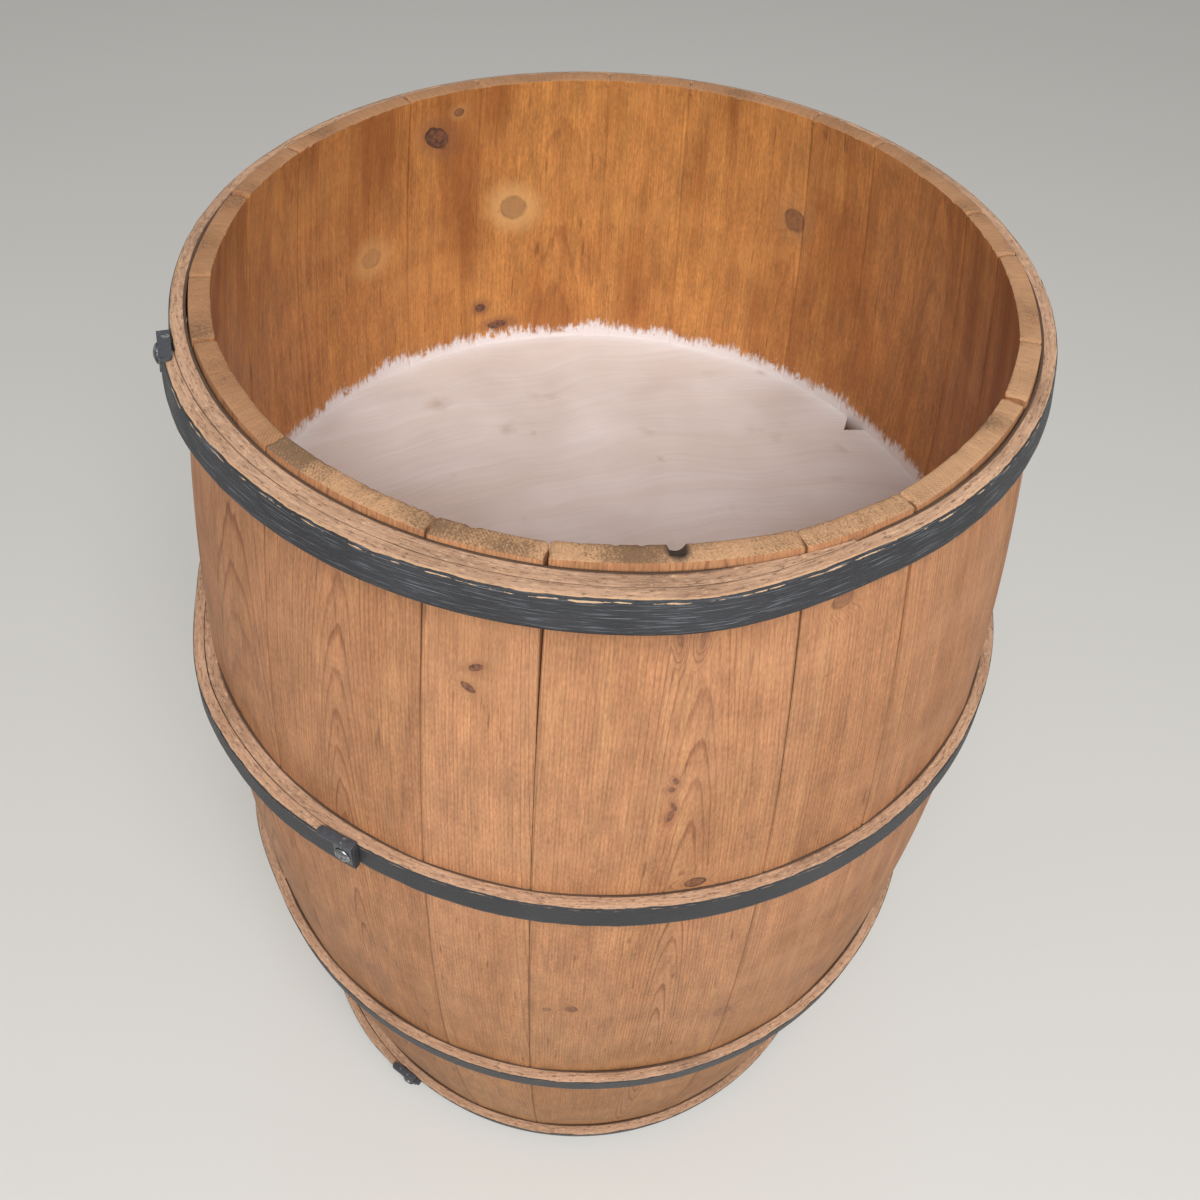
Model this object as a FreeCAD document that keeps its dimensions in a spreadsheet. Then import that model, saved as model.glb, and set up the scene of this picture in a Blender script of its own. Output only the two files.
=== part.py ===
import FreeCAD, Part
import math
import os

import Sketcher

# Barrel planter: bowed staves, four lapped wooden hoops, a raised floor on cleats and a bottom head.
# Millimetres, +Z up, the barrel's axis is Z and the stave ends stand on Z = 0.
# Bearings are degrees round the axis from the front, which is -Y, and they grow towards +X.

Vector = FreeCAD.Vector
UP = Vector(0, 0, 1)
FRONT = -90.0
FULL_TURN = 360.0

# Wide and narrow staves in turn; each takes its share of the round, whatever the barrel's diameter
STAVE_SHARES = (107, 62, 131, 68, 118, 60, 98, 53, 108, 59, 106, 65, 105, 61, 111, 68, 97, 66, 105)
CLEAT_STAVES = (3, 7, 11, 15)
HOOPS = ("top_hoop", "upper_bilge_hoop", "lower_bilge_hoop", "bottom_hoop")
CLEAT_NAILS_EACH = 2

# The bottom head's boards, from left to right, share its diameter in the same way
HEAD_SHARES = (104, 131, 122, 120)

# Driving dimensions
SIZES = {
    "bilge_diameter": 525.0,
    "stave_length": 724.0,
    "stave_thickness": 10.5,
    "bilge_depth": 39.5,
    "rim_bevel": 2.5,
    "seam_gap": 0.3,
    "first_seam_bearing": -42.5,
    "croze_height": 30.0,
    "croze_width": 6.0,
    "croze_depth": 4.0,
    "hoop_thickness": 7.0,
    "hoop_width": 18.5,
    "hoop_clearance": 0.3,
    "hoop_tip_thickness": 1.5,
    "hoop_end_thickness": 4.0,
    "hoop_tip_taper": 85.0,
    "hoop_end_taper": 55.0,
    "top_hoop_drop": 4.0,
    "upper_bilge_hoop_height": 502.0,
    "lower_bilge_hoop_height": 241.0,
    "bottom_hoop_lift": 1.0,
    "top_hoop_lap": 400.0,
    "upper_bilge_hoop_lap": 225.0,
    "lower_bilge_hoop_lap": 225.0,
    "bottom_hoop_lap": 200.0,
    "top_hoop_end_bearing": -69.5,
    "upper_bilge_hoop_end_bearing": -26.5,
    "lower_bilge_hoop_end_bearing": -110.0,
    "bottom_hoop_end_bearing": -33.0,
    "clip_sheet": 1.5,
    "clip_clearance": 0.3,
    "clip_tab_length": 24.0,
    "clip_tab_width": 6.5,
    "clip_leg_length": 12.0,
    "clip_leg_drop": 14.0,
    "clip_inset": 3.0,
    "nail_shank": 2.6,
    "nail_head": 7.0,
    "nail_head_height": 2.2,
    "nail_clearance": 0.2,
    "clip_nail_length": 11.0,
    "cleat_nail_length": 26.0,
    "cleat_nail_spacing": 50.0,
    "floor_height": 498.0,
    "floor_thickness": 12.0,
    "floor_clearance": 0.3,
    "cleat_length": 84.0,
    "cleat_width": 30.0,
    "cleat_depth": 20.0,
    "head_thickness": 12.0,
    "head_bevel": 16.0,
    "head_clearance": 0.3,
}
SHARE_ALIASES = ["stave_share_%02d" % number for number in range(1, len(STAVE_SHARES) + 1)]
HEAD_ALIASES = ["head_share_%d" % number for number in range(1, len(HEAD_SHARES) + 1)]
SIZES.update(zip(SHARE_ALIASES, STAVE_SHARES))
SIZES.update(zip(HEAD_ALIASES, HEAD_SHARES))

# The way each hoop's strip winds from its inner tip to its outer end: 1 with the bearings, -1 against them
WINDING = {"top_hoop": -1, "upper_bilge_hoop": 1, "lower_bilge_hoop": -1, "bottom_hoop": 1}

doc = FreeCAD.newDocument("barrel_planter")
sheet = doc.addObject("Spreadsheet::Sheet", "sizes")
for row, (alias, value) in enumerate(SIZES.items(), 1):
    sheet.set("A%d" % row, alias)
    sheet.set("B%d" % row, str(value))
    sheet.setAlias("B%d" % row, alias)
doc.recompute()


def size(alias):
    return float(sheet.get(alias))


# Expressions that more than one piece uses
ALL_SHARES = "(" + "+".join("sizes." + alias for alias in SHARE_ALIASES) + ")"
BILGE_RADIUS = "sizes.bilge_diameter/2"
BOW_RADIUS = "(sizes.bilge_depth^2+(sizes.stave_length/2)^2)/(2*sizes.bilge_depth)"
FLOOR_UNDERSIDE = "(sizes.floor_height-sizes.floor_thickness)"

# The same curve as numbers, for what seats on the staves
half_length = size("stave_length") / 2
bilge_radius = size("bilge_diameter") / 2
bow_radius = (size("bilge_depth") ** 2 + half_length ** 2) / (2 * size("bilge_depth"))


def bowed_radius(height, inset):
    """Radius of the bowed wall at a height, measured at a depth below its outer face."""
    reach = bow_radius - inset
    return bilge_radius - bow_radius + math.sqrt(reach ** 2 - (height - half_length) ** 2)


def outside_radius(height):
    return bowed_radius(height, 0.0)


def inside_radius(height):
    return bowed_radius(height, size("stave_thickness"))


def polar(radius, degrees, height=0.0):
    angle = math.radians(degrees)
    return Vector(radius * math.cos(angle), radius * math.sin(angle), height)


def turned(degrees):
    return FreeCAD.Placement(Vector(), FreeCAD.Rotation(UP, degrees))


# Sketch helpers
def new_body(name):
    body = doc.addObject("PartDesign::Body", name)
    body.Label = name
    return body


def new_sketch(body, plane, name):
    sketch = body.newObject("Sketcher::SketchObject", name)
    support = [item for item in body.Origin.OriginFeatures if item.Role == plane][0]
    sketch.AttachmentSupport = [(support, "")]
    sketch.MapMode = "FlatFace"
    return sketch


def add_line(sketch, start, end):
    return sketch.addGeometry(Part.LineSegment(start, end)), 1, 2


def add_arc(sketch, start, middle, end):
    """Adds an arc through three points; a sketch keeps every arc anticlockwise, so the ends may swap."""
    anticlockwise = (middle - start).cross(end - middle).z > 0
    if anticlockwise:
        return sketch.addGeometry(Part.Arc(start, middle, end)), 1, 2
    return sketch.addGeometry(Part.Arc(end, middle, start)), 2, 1


def close_loop(sketch, edges):
    """Joins each edge's end to the next one's start."""
    for (edge, _, end), (following, start, _) in zip(edges, edges[1:] + edges[:1]):
        sketch.addConstraint(Sketcher.Constraint("Coincident", edge, end, following, start))


def add_outline(sketch, points):
    corners = [Vector(x, y, 0) for x, y in points]
    edges = [add_line(sketch, a, b) for a, b in zip(corners, corners[1:] + corners[:1])]
    close_loop(sketch, edges)
    return edges


def bind(sketch, expression, *constraint):
    """Adds a constraint whose value the sheet drives."""
    index = sketch.addConstraint(Sketcher.Constraint(*constraint))
    sketch.setExpression("Constraints[%d]" % index, expression)


def add_feature(body, kind, name, profile):
    feature = body.newObject("PartDesign::" + kind, name)
    feature.Profile = profile
    return feature


def revolve(body, kind, name, profile):
    feature = add_feature(body, kind, name, profile)
    feature.ReferenceAxis = (profile, ["V_Axis"])
    return feature


# Staves: a bowed section with bevelled ends, swept by the stave's share of the round, with the croze cut in
def stave_section(body, name):
    sketch = new_sketch(body, "XZ_Plane", name + "_section")
    length = size("stave_length")
    bevel = size("rim_bevel")
    middle = half_length
    outer_low = Vector(outside_radius(0), 0, 0)
    outer_top = Vector(outside_radius(0), length, 0)
    inner_low = Vector(inside_radius(bevel), bevel, 0)
    inner_top = Vector(inside_radius(bevel), length - bevel, 0)
    lip_low = Vector(inner_low.x + bevel, 0, 0)
    lip_top = Vector(inner_top.x + bevel, length, 0)
    outer = add_arc(sketch, outer_low, Vector(outside_radius(middle), middle, 0), outer_top)
    top = add_line(sketch, outer_top, lip_top)
    top_bevel = add_line(sketch, lip_top, inner_top)
    inner = add_arc(sketch, inner_top, Vector(inside_radius(middle), middle, 0), inner_low)
    low_bevel = add_line(sketch, inner_low, lip_low)
    bottom = add_line(sketch, lip_low, outer_low)
    close_loop(sketch, [outer, top, top_bevel, inner, low_bevel, bottom])
    sketch.addConstraint(Sketcher.Constraint("Coincident", outer[0], 3, inner[0], 3))
    sketch.addConstraint(Sketcher.Constraint("Horizontal", top[0]))
    sketch.addConstraint(Sketcher.Constraint("Horizontal", bottom[0]))
    sketch.addConstraint(Sketcher.Constraint("PointOnObject", bottom[0], 1, -1))
    bind(sketch, BOW_RADIUS, "Radius", outer[0], bow_radius)
    inner_bow = bow_radius - size("stave_thickness")
    bind(sketch, BOW_RADIUS + "-sizes.stave_thickness", "Radius", inner[0], inner_bow)
    bind(sketch, BOW_RADIUS + "-" + BILGE_RADIUS, "DistanceX", outer[0], 3, -1, 1, bow_radius - bilge_radius)
    bind(sketch, "sizes.stave_length/2", "DistanceY", -1, 1, outer[0], 3, half_length)
    bind(sketch, "sizes.stave_length", "DistanceY", -1, 1, top[0], 1, length)
    for edge, lip, wall in ((top_bevel, 1, 2), (low_bevel, 2, 1)):
        bind(sketch, "sizes.rim_bevel", "DistanceX", edge[0], wall, edge[0], lip, bevel)
    bind(sketch, "sizes.rim_bevel", "DistanceY", top_bevel[0], 2, top_bevel[0], 1, bevel)
    bind(sketch, "sizes.rim_bevel", "DistanceY", low_bevel[0], 2, low_bevel[0], 1, bevel)
    return sketch


def croze_section(body, name):
    sketch = new_sketch(body, "XZ_Plane", name + "_croze_section")
    low = size("croze_height")
    high = low + size("croze_width")
    bottom_of_groove = inside_radius(low) + size("croze_depth")
    open_side = inside_radius(low) - size("croze_depth")
    add_outline(sketch, [(open_side, low), (bottom_of_groove, low), (bottom_of_groove, high), (open_side, high)])
    return sketch


def build_stave(name, share_alias, start):
    body = new_body(name)
    sweep = "360*sizes.%s/%s" % (share_alias, ALL_SHARES)
    seam = "sizes.seam_gap/(%s)*180/pi" % BILGE_RADIUS
    board = revolve(body, "Revolution", name + "_board", stave_section(body, name))
    board.setExpression("Angle", sweep + "-" + seam)
    croze = revolve(body, "Groove", name + "_croze", croze_section(body, name))
    croze.Angle = FULL_TURN
    body.Placement = turned(start)
    return body


all_shares = sum(size(alias) for alias in SHARE_ALIASES)
seam_angle = math.degrees(size("seam_gap") / bilge_radius)
stave_middles = {}
pieces = {}
angle = FRONT + size("first_seam_bearing")
for number, alias in enumerate(SHARE_ALIASES, 1):
    name = "stave_%02d" % number
    sweep = FULL_TURN * size(alias) / all_shares
    pieces[name] = build_stave(name, alias, angle + seam_angle / 2)
    stave_middles[number] = angle + sweep / 2
    angle += sweep


# Hoops: one strip each, with a feathered inner tip, a climb over that tip and a thinned outer end
HOOP_TOPS = {
    "top_hoop": "sizes.stave_length-sizes.top_hoop_drop",
    "upper_bilge_hoop": "sizes.upper_bilge_hoop_height",
    "lower_bilge_hoop": "sizes.lower_bilge_hoop_height",
    "bottom_hoop": "sizes.bottom_hoop_lift+sizes.hoop_width",
}
hoop_tops = {
    "top_hoop": size("stave_length") - size("top_hoop_drop"),
    "upper_bilge_hoop": size("upper_bilge_hoop_height"),
    "lower_bilge_hoop": size("lower_bilge_hoop_height"),
    "bottom_hoop": size("bottom_hoop_lift") + size("hoop_width"),
}


# How far each arc of a hoop's climb bows, as a share of its own rise
CLIMB_BOW = 0.25


class Strip:
    """The path of one hoop's strip; angles run from the inner tip along the strip."""

    def __init__(self, name):
        self.top = hoop_tops[name]
        self.bottom = self.top - size("hoop_width")
        self.winding = WINDING[name]
        self.step = size("hoop_thickness") + size("hoop_clearance")
        mean_radius = outside_radius((self.top + self.bottom) / 2) + size("hoop_thickness")
        self.degrees_per_mm = 180.0 / (math.pi * mean_radius)
        self.tip_taper = size("hoop_tip_taper") * self.degrees_per_mm
        self.end_taper = size("hoop_end_taper") * self.degrees_per_mm
        self.end = FULL_TURN + size(name + "_lap") * self.degrees_per_mm
        self.tip_bearing = size(name + "_end_bearing") - self.winding * self.end

    def seat(self, height):
        return outside_radius(height) + size("hoop_clearance")

    def place(self, angle, radius, height=0.0):
        return polar(radius, FRONT + self.tip_bearing + self.winding * angle, height)

    def outline(self, sketch, height):
        seat = self.seat(height)
        thickness = size("hoop_thickness")
        lifted = seat + self.step
        climb_start = FULL_TURN - self.tip_taper
        climb_end = FULL_TURN + self.tip_taper
        thinning = self.end - self.end_taper
        inner_face = [
            (0.0, seat), (climb_start, seat), (FULL_TURN, seat + self.step / 2),
            (climb_end, lifted), (self.end, lifted),
        ]
        outer_face = [
            (self.end, lifted + size("hoop_end_thickness")), (thinning, lifted + thickness),
            (climb_end, lifted + thickness), (FULL_TURN, seat + self.step / 2 + thickness),
            (climb_start, seat + thickness), (self.tip_taper, seat + thickness),
            (0.0, seat + size("hoop_tip_thickness")),
        ]
        # The climb is two arcs, the first hollow and the second round
        bows = {(climb_start, FULL_TURN): -CLIMB_BOW, (FULL_TURN, climb_end): CLIMB_BOW}
        edges = []
        for face in (inner_face, outer_face):
            for (a, r), (b, s) in zip(face, face[1:]):
                bow = bows.get((min(a, b), max(a, b)), 0.0) * self.step / 2
                middle = self.place((a + b) / 2, (r + s) / 2 + bow)
                edges.append(add_arc(sketch, self.place(a, r), middle, self.place(b, s)))
            turn = outer_face[0] if face is inner_face else inner_face[0]
            edges.append(add_line(sketch, self.place(*face[-1]), self.place(*turn)))
        close_loop(sketch, edges)

    def outer_edge(self, inset):
        """A point of the outer top edge, on the thinned stretch, at a distance from the outer end."""
        share = inset / size("hoop_end_taper")
        thickness = size("hoop_end_thickness") * (1 - share) + size("hoop_thickness") * share
        radius = self.seat(self.top) + self.step + thickness
        return self.place(self.end - inset * self.degrees_per_mm, radius, self.top)

    def flare(self):
        """How far the strip's faces lean outwards for each millimetre down."""
        return (self.seat(self.bottom) - self.seat(self.top)) / size("hoop_width")

    def clip_frame(self):
        """The clip's bend on the outer top edge and the level direction out of the thinned face there."""
        near = self.outer_edge(size("clip_inset"))
        far = self.outer_edge(size("clip_inset") + size("clip_leg_length"))
        along = (near - far).normalize() * self.winding
        return self.outer_edge(size("clip_inset") + size("clip_leg_length") / 2), along.cross(UP)


def build_hoop_strip(name, strip):
    body = new_body(name + "_strip")
    sections = []
    for edge, height, drop in (("lower", strip.bottom, "-sizes.hoop_width"), ("upper", strip.top, "")):
        sketch = new_sketch(body, "XY_Plane", "%s_%s_edge" % (name, edge))
        sketch.setExpression("AttachmentOffset.Base.z", HOOP_TOPS[name] + drop)
        strip.outline(sketch, height)
        sections.append(sketch)
    loft = add_feature(body, "AdditiveLoft", name + "_bend", sections[0])
    loft.Sections = sections[1:]
    loft.Ruled = True
    return body


# Clips: a bent steel strap, its tab on the hoop's top face and its leg down the outer face under a nail
def build_clip(name, strip):
    body = new_body(name)
    sheet_thickness = size("clip_sheet")
    gap = size("clip_clearance")
    half_leg = size("clip_leg_length") / 2
    away = strip.winding
    tab_end = away * (size("clip_tab_length") - half_leg)
    outer = gap + sheet_thickness
    inner = outer - size("clip_tab_width")
    round_radius = size("clip_tab_width") / 2

    tab_sketch = new_sketch(body, "XY_Plane", name + "_tab_outline")
    near_outer = Vector(-away * half_leg, outer, 0)
    near_inner = Vector(-away * half_leg, inner, 0)
    far_inner = Vector(tab_end - away * round_radius, inner, 0)
    far_outer = Vector(tab_end - away * round_radius, outer, 0)
    edges = [
        add_line(tab_sketch, near_outer, near_inner),
        add_line(tab_sketch, near_inner, far_inner),
        add_arc(tab_sketch, far_inner, Vector(tab_end, (inner + outer) / 2, 0), far_outer),
        add_line(tab_sketch, far_outer, near_outer),
    ]
    close_loop(tab_sketch, edges)
    tab_sketch.setExpression("AttachmentOffset.Base.z", "sizes.clip_clearance")
    tab = add_feature(body, "Pad", name + "_tab", tab_sketch)
    tab.setExpression("Length", "sizes.clip_sheet")

    leg_sketch = new_sketch(body, "YZ_Plane", name + "_leg_section")
    drop = size("clip_leg_drop")
    lean = strip.flare() * drop
    inner_side = [(gap, outer), (gap, 0), (gap + lean, -drop)]
    outer_side = [(outer + lean, -drop), (outer, 0), (outer, outer)]
    add_outline(leg_sketch, inner_side + outer_side)
    leg = add_feature(body, "Pad", name + "_leg", leg_sketch)
    leg.setExpression("Length", "sizes.clip_leg_length")
    leg.Midplane = True
    return body


# Nails: a domed head on a round shank, the head's underside at the nail's origin
def build_nail(name, length_alias):
    body = new_body(name)
    sketch = new_sketch(body, "XZ_Plane", name + "_section")
    head = size("nail_head") / 2
    shank = size("nail_shank") / 2
    rise = size("nail_head_height")
    length = size(length_alias)
    dome_radius = (head ** 2 + rise ** 2) / (2 * rise)
    half_turn = math.asin(head / dome_radius) / 2
    crown = Vector(dome_radius * math.sin(half_turn), rise - dome_radius * (1 - math.cos(half_turn)), 0)
    edges = [
        add_line(sketch, Vector(0, -length, 0), Vector(shank, -length, 0)),
        add_line(sketch, Vector(shank, -length, 0), Vector(shank, 0, 0)),
        add_line(sketch, Vector(shank, 0, 0), Vector(head, 0, 0)),
        add_arc(sketch, Vector(head, 0, 0), crown, Vector(0, rise, 0)),
        add_line(sketch, Vector(0, rise, 0), Vector(0, -length, 0)),
    ]
    close_loop(sketch, edges)
    turn = revolve(body, "Revolution", name + "_turn", sketch)
    turn.Angle = FULL_TURN
    return body


def build_bore(name, length_alias, placement):
    """The drilled hole that takes a nail's shank, a little wider and longer than the shank at each end."""
    bore = doc.addObject("Part::Cylinder", name)
    bore.setExpression("Radius", "sizes.nail_shank/2+sizes.nail_clearance")
    bore.setExpression("Height", "sizes.%s+2*sizes.nail_clearance" % length_alias)
    depth = size(length_alias) + size("nail_clearance")
    bore.Placement = placement.multiply(FreeCAD.Placement(Vector(0, 0, -depth), FreeCAD.Rotation()))
    return bore


def drill(name, base, bores):
    """A copy of the base with the bores taken out of it one after another."""
    for number, bore in enumerate(bores, 1):
        cut = doc.addObject("Part::Cut", "%s_drilled_%d" % (name, number))
        cut.Base = base
        cut.Tool = bore
        base = cut
    base.Label = name
    return base


def group(name, members):
    compound = doc.addObject("Part::Compound", name)
    compound.Links = members
    compound.Label = name
    return compound


clip_nails = []
for name in HOOPS:
    strip = Strip(name)
    bend, outward = strip.clip_frame()
    clip_name = name + "_clip"
    clip = build_clip(clip_name + "_strap", strip)
    clip.Placement = FreeCAD.Placement(bend, FreeCAD.Rotation(outward.cross(UP), outward, UP, "ZYX"))
    half_drop = size("clip_leg_drop") / 2
    leg_face = size("clip_clearance") + size("clip_sheet") + strip.flare() * half_drop
    square_to_leg = (outward + UP * strip.flare()).normalize()
    nail_seat = bend + outward * leg_face - UP * half_drop
    nail_place = FreeCAD.Placement(nail_seat, FreeCAD.Rotation(UP, square_to_leg))
    nail = build_nail(name + "_nail", "clip_nail_length")
    nail.Placement = nail_place
    clip_nails.append(nail)
    bore = build_bore(name + "_nail_bore", "clip_nail_length", nail_place)
    pieces[name] = drill(name, build_hoop_strip(name, strip), [bore])
    pieces[clip_name] = drill(clip_name, clip, [bore])
pieces["clip_nails"] = group("clip_nails", clip_nails)


# Raised floor: a disc that fits the staves, lying on cleats that are nailed to four of them
def build_floor():
    body = new_body("raised_floor")
    sketch = new_sketch(body, "XZ_Plane", "raised_floor_section")
    top = size("floor_height")
    under = top - size("floor_thickness")
    clearance = size("floor_clearance")
    add_outline(sketch, [
        (0, under), (inside_radius(under) - clearance, under), (inside_radius(top) - clearance, top), (0, top),
    ])
    disc = revolve(body, "Revolution", "raised_floor_disc", sketch)
    disc.Angle = FULL_TURN
    return body


def build_cleat(name, middle):
    body = new_body(name)
    sketch = new_sketch(body, "XZ_Plane", name + "_section")
    top = size("floor_height") - size("floor_thickness")
    under = top - size("cleat_width")
    back_top = inside_radius(top) - size("floor_clearance")
    back_under = inside_radius(under) - size("floor_clearance")
    face = back_top - size("cleat_depth")
    edges = add_outline(sketch, [(face, under), (back_under, under), (back_top, top), (face, top)])
    bind(sketch, FLOOR_UNDERSIDE, "DistanceY", -1, 1, edges[2][0], 1, top)
    block = revolve(body, "Revolution", name + "_block", sketch)
    block.Angle = math.degrees(size("cleat_length") / back_top)
    block.Midplane = True
    body.Placement = turned(middle)
    return body


cleat_top = size("floor_height") - size("floor_thickness")
cleat_face = inside_radius(cleat_top) - size("floor_clearance") - size("cleat_depth")
cleat_middle = cleat_top - size("cleat_width") / 2
nail_offset = math.degrees(size("cleat_nail_spacing") / 2 / cleat_face)
cleat_nails = []
for number, stave_number in enumerate(CLEAT_STAVES, 1):
    middle = stave_middles[stave_number]
    bores = []
    for place in range(CLEAT_NAILS_EACH):
        bearing = middle + nail_offset * (2 * place - 1)
        inward = polar(-1.0, bearing)
        seat = polar(cleat_face - size("nail_clearance"), bearing, cleat_middle)
        nail_place = FreeCAD.Placement(seat, FreeCAD.Rotation(UP, inward))
        nail_name = "cleat_%d_nail_%d" % (number, place + 1)
        nail = build_nail(nail_name, "cleat_nail_length")
        nail.Placement = nail_place
        cleat_nails.append(nail)
        bores.append(build_bore(nail_name + "_bore", "cleat_nail_length", nail_place))
    cleat_name = "floor_cleat_%d" % number
    stave_name = "stave_%02d" % stave_number
    pieces[cleat_name] = drill(cleat_name, build_cleat(cleat_name + "_block", middle), bores)
    board = pieces[stave_name]
    board.Label = stave_name + "_board"
    pieces[stave_name] = drill(stave_name, board, bores)
pieces["cleat_nails"] = group("cleat_nails", cleat_nails)
pieces["raised_floor"] = build_floor()


# Bottom head: a disc with a bevelled edge that sits in the croze, sawn into boards
def build_head_disc():
    body = new_body("head_disc")
    sketch = new_sketch(body, "XZ_Plane", "head_disc_section")
    clearance = size("head_clearance")
    middle = size("croze_height") + size("croze_width") / 2
    radius = inside_radius(size("croze_height")) + size("croze_depth") - clearance
    half_edge = size("croze_width") / 2 - clearance
    half_board = size("head_thickness") / 2
    tongue_radius = radius - size("croze_depth")
    flat_radius = tongue_radius - size("head_bevel")
    below = [(0, half_board), (flat_radius, half_board), (tongue_radius, half_edge), (radius, half_edge)]
    add_outline(sketch, [(r, middle - h) for r, h in below] + [(r, middle + h) for r, h in reversed(below)])
    disc = revolve(body, "Revolution", "head_disc_turn", sketch)
    disc.Angle = FULL_TURN
    return body, radius, middle - half_board


head_disc, head_radius, head_underside = build_head_disc()
left_edge = -head_radius
width_per_share = 2 * head_radius / sum(size(alias) for alias in HEAD_ALIASES)
for number, alias in enumerate(HEAD_ALIASES, 1):
    name = "head_board_%d" % number
    board_width = size(alias) * width_per_share
    plank = doc.addObject("Part::Box", name + "_plank")
    plank.Length = board_width - size("head_clearance")
    plank.Width = 2 * head_radius
    plank.setExpression("Height", "sizes.head_thickness")
    plank.Placement.Base = Vector(left_edge + size("head_clearance") / 2, -head_radius, head_underside)
    board = doc.addObject("Part::Common", name)
    board.Base = head_disc
    board.Tool = plank
    board.Label = name
    pieces[name] = board
    left_edge += board_width

doc.recompute()
for item in doc.Objects:
    if "Invalid" in item.State or "Error" in item.State:
        raise RuntimeError("%s did not build" % item.Name)
for name, piece in pieces.items():
    if piece.Shape.isNull() or not piece.Shape.isValid():
        raise RuntimeError("%s has no sound shape" % name)

os.makedirs("parts", exist_ok=True)
for name, piece in pieces.items():
    piece.Shape.exportStep("parts/%s.step" % name)
print("%d pieces" % len(pieces))
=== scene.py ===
import math
import random
from functools import partial

import bmesh
import bpy
from mathutils import Matrix, Vector, noise


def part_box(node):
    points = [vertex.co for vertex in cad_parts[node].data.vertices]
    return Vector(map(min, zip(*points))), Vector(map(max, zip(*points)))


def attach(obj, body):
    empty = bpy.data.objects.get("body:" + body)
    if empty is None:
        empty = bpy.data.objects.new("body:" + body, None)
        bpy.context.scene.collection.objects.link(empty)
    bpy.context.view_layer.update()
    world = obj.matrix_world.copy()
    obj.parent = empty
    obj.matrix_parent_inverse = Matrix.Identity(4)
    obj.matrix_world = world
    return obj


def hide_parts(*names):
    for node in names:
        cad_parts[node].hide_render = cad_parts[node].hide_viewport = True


# An old slack barrel kept as a planter: bowed pine staves, four lapped wooden hoops with black
# paint on their outer faces, steel clips, and a raised floor brushed with white paint.
# Metres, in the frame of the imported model. A bearing runs round the barrel from the front, -Y,
# towards +X.

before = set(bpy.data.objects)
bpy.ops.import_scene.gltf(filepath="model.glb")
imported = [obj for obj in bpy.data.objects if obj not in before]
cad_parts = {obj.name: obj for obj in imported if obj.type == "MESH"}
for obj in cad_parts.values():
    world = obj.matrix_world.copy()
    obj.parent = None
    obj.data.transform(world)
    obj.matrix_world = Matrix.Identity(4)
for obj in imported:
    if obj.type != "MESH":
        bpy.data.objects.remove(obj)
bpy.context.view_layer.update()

MM = 0.001
FULL_TURN = 2 * math.pi

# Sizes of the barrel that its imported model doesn't show by itself
STAVE_SHARES = (107, 62, 131, 68, 118, 60, 98, 53, 108, 59, 106, 65, 105, 61, 111, 68, 97, 66, 105)
FIRST_SEAM = math.radians(-42.5)
BILGE_DEPTH = 39.5 * MM
STAVE_THICKNESS = 10.5 * MM
SEAM_CLEARANCE = 0.3 * MM
HOOP_WIDTH = 18.5 * MM
HOOP_THICKNESS = 7.0 * MM
HOOP_CLEARANCE = 0.3 * MM
HOOP_TIP = 0.8 * MM
HOOP_TIP_LEAD = 15 * MM
HOOP_TRIM = 2.5 * MM
HOOP_DIP = 16 * MM
HOOP_PRESS = 1.4 * MM
HOOP_END = 4.0 * MM
HOOP_TIP_TAPER = 85 * MM
HOOP_END_TAPER = 55 * MM
CLIP_INSET = 3 * MM
CLIP_SHEET = 1.5 * MM
CLIP_LEG = 12 * MM
CLIP_DROP = 14 * MM
CLIP_CLEARANCE = 0.3 * MM
CLIP_BEND = 0.7 * MM
NAIL_HEAD = 10.5 * MM
NAIL_RISE = 2.6 * MM
NAIL_SHANK = 2.6 * MM
CLIP_NAIL_LENGTH = 11 * MM
FLOOR_PRESS = 0.6 * MM
CLEAT_STAVES = (3, 7, 11, 15)

STAVES = ["stave_%02d" % number for number in range(1, len(STAVE_SHARES) + 1)]
CLEATS = ["floor_cleat_%d" % number for number in range(1, len(CLEAT_STAVES) + 1)]
HEAD_BOARDS = sorted(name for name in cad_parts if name.startswith("head_board"))

# The way each hoop winds from its inner tip, its lap, the bearing of its outer end, and its wear
HOOPS = {
    "top_hoop": (-1, 400 * MM, math.radians(-69.5), 1.0),
    "upper_bilge_hoop": (1, 225 * MM, math.radians(-26.5), 0.35),
    "lower_bilge_hoop": (-1, 225 * MM, math.radians(-110), 0.25),
    "bottom_hoop": (1, 200 * MM, math.radians(-33), 0.3),
}

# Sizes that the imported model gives
stave_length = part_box("stave_01")[1].z
bilge_radius = max(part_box(name)[1].x for name in STAVES)
floor_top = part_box("raised_floor")[1].z
floor_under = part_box("raised_floor")[0].z
half_length = stave_length / 2
bow_radius = (BILGE_DEPTH ** 2 + half_length ** 2) / (2 * BILGE_DEPTH)


def wall_radius(height, depth=0.0):
    """The bowed wall's radius at a height, some depth below its outer face."""
    reach = bow_radius - depth
    return bilge_radius - bow_radius + math.sqrt(reach ** 2 - (height - half_length) ** 2)


def round_the_barrel(radius, bearing, height):
    return Vector((radius * math.sin(bearing), -radius * math.cos(bearing), height))


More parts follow.
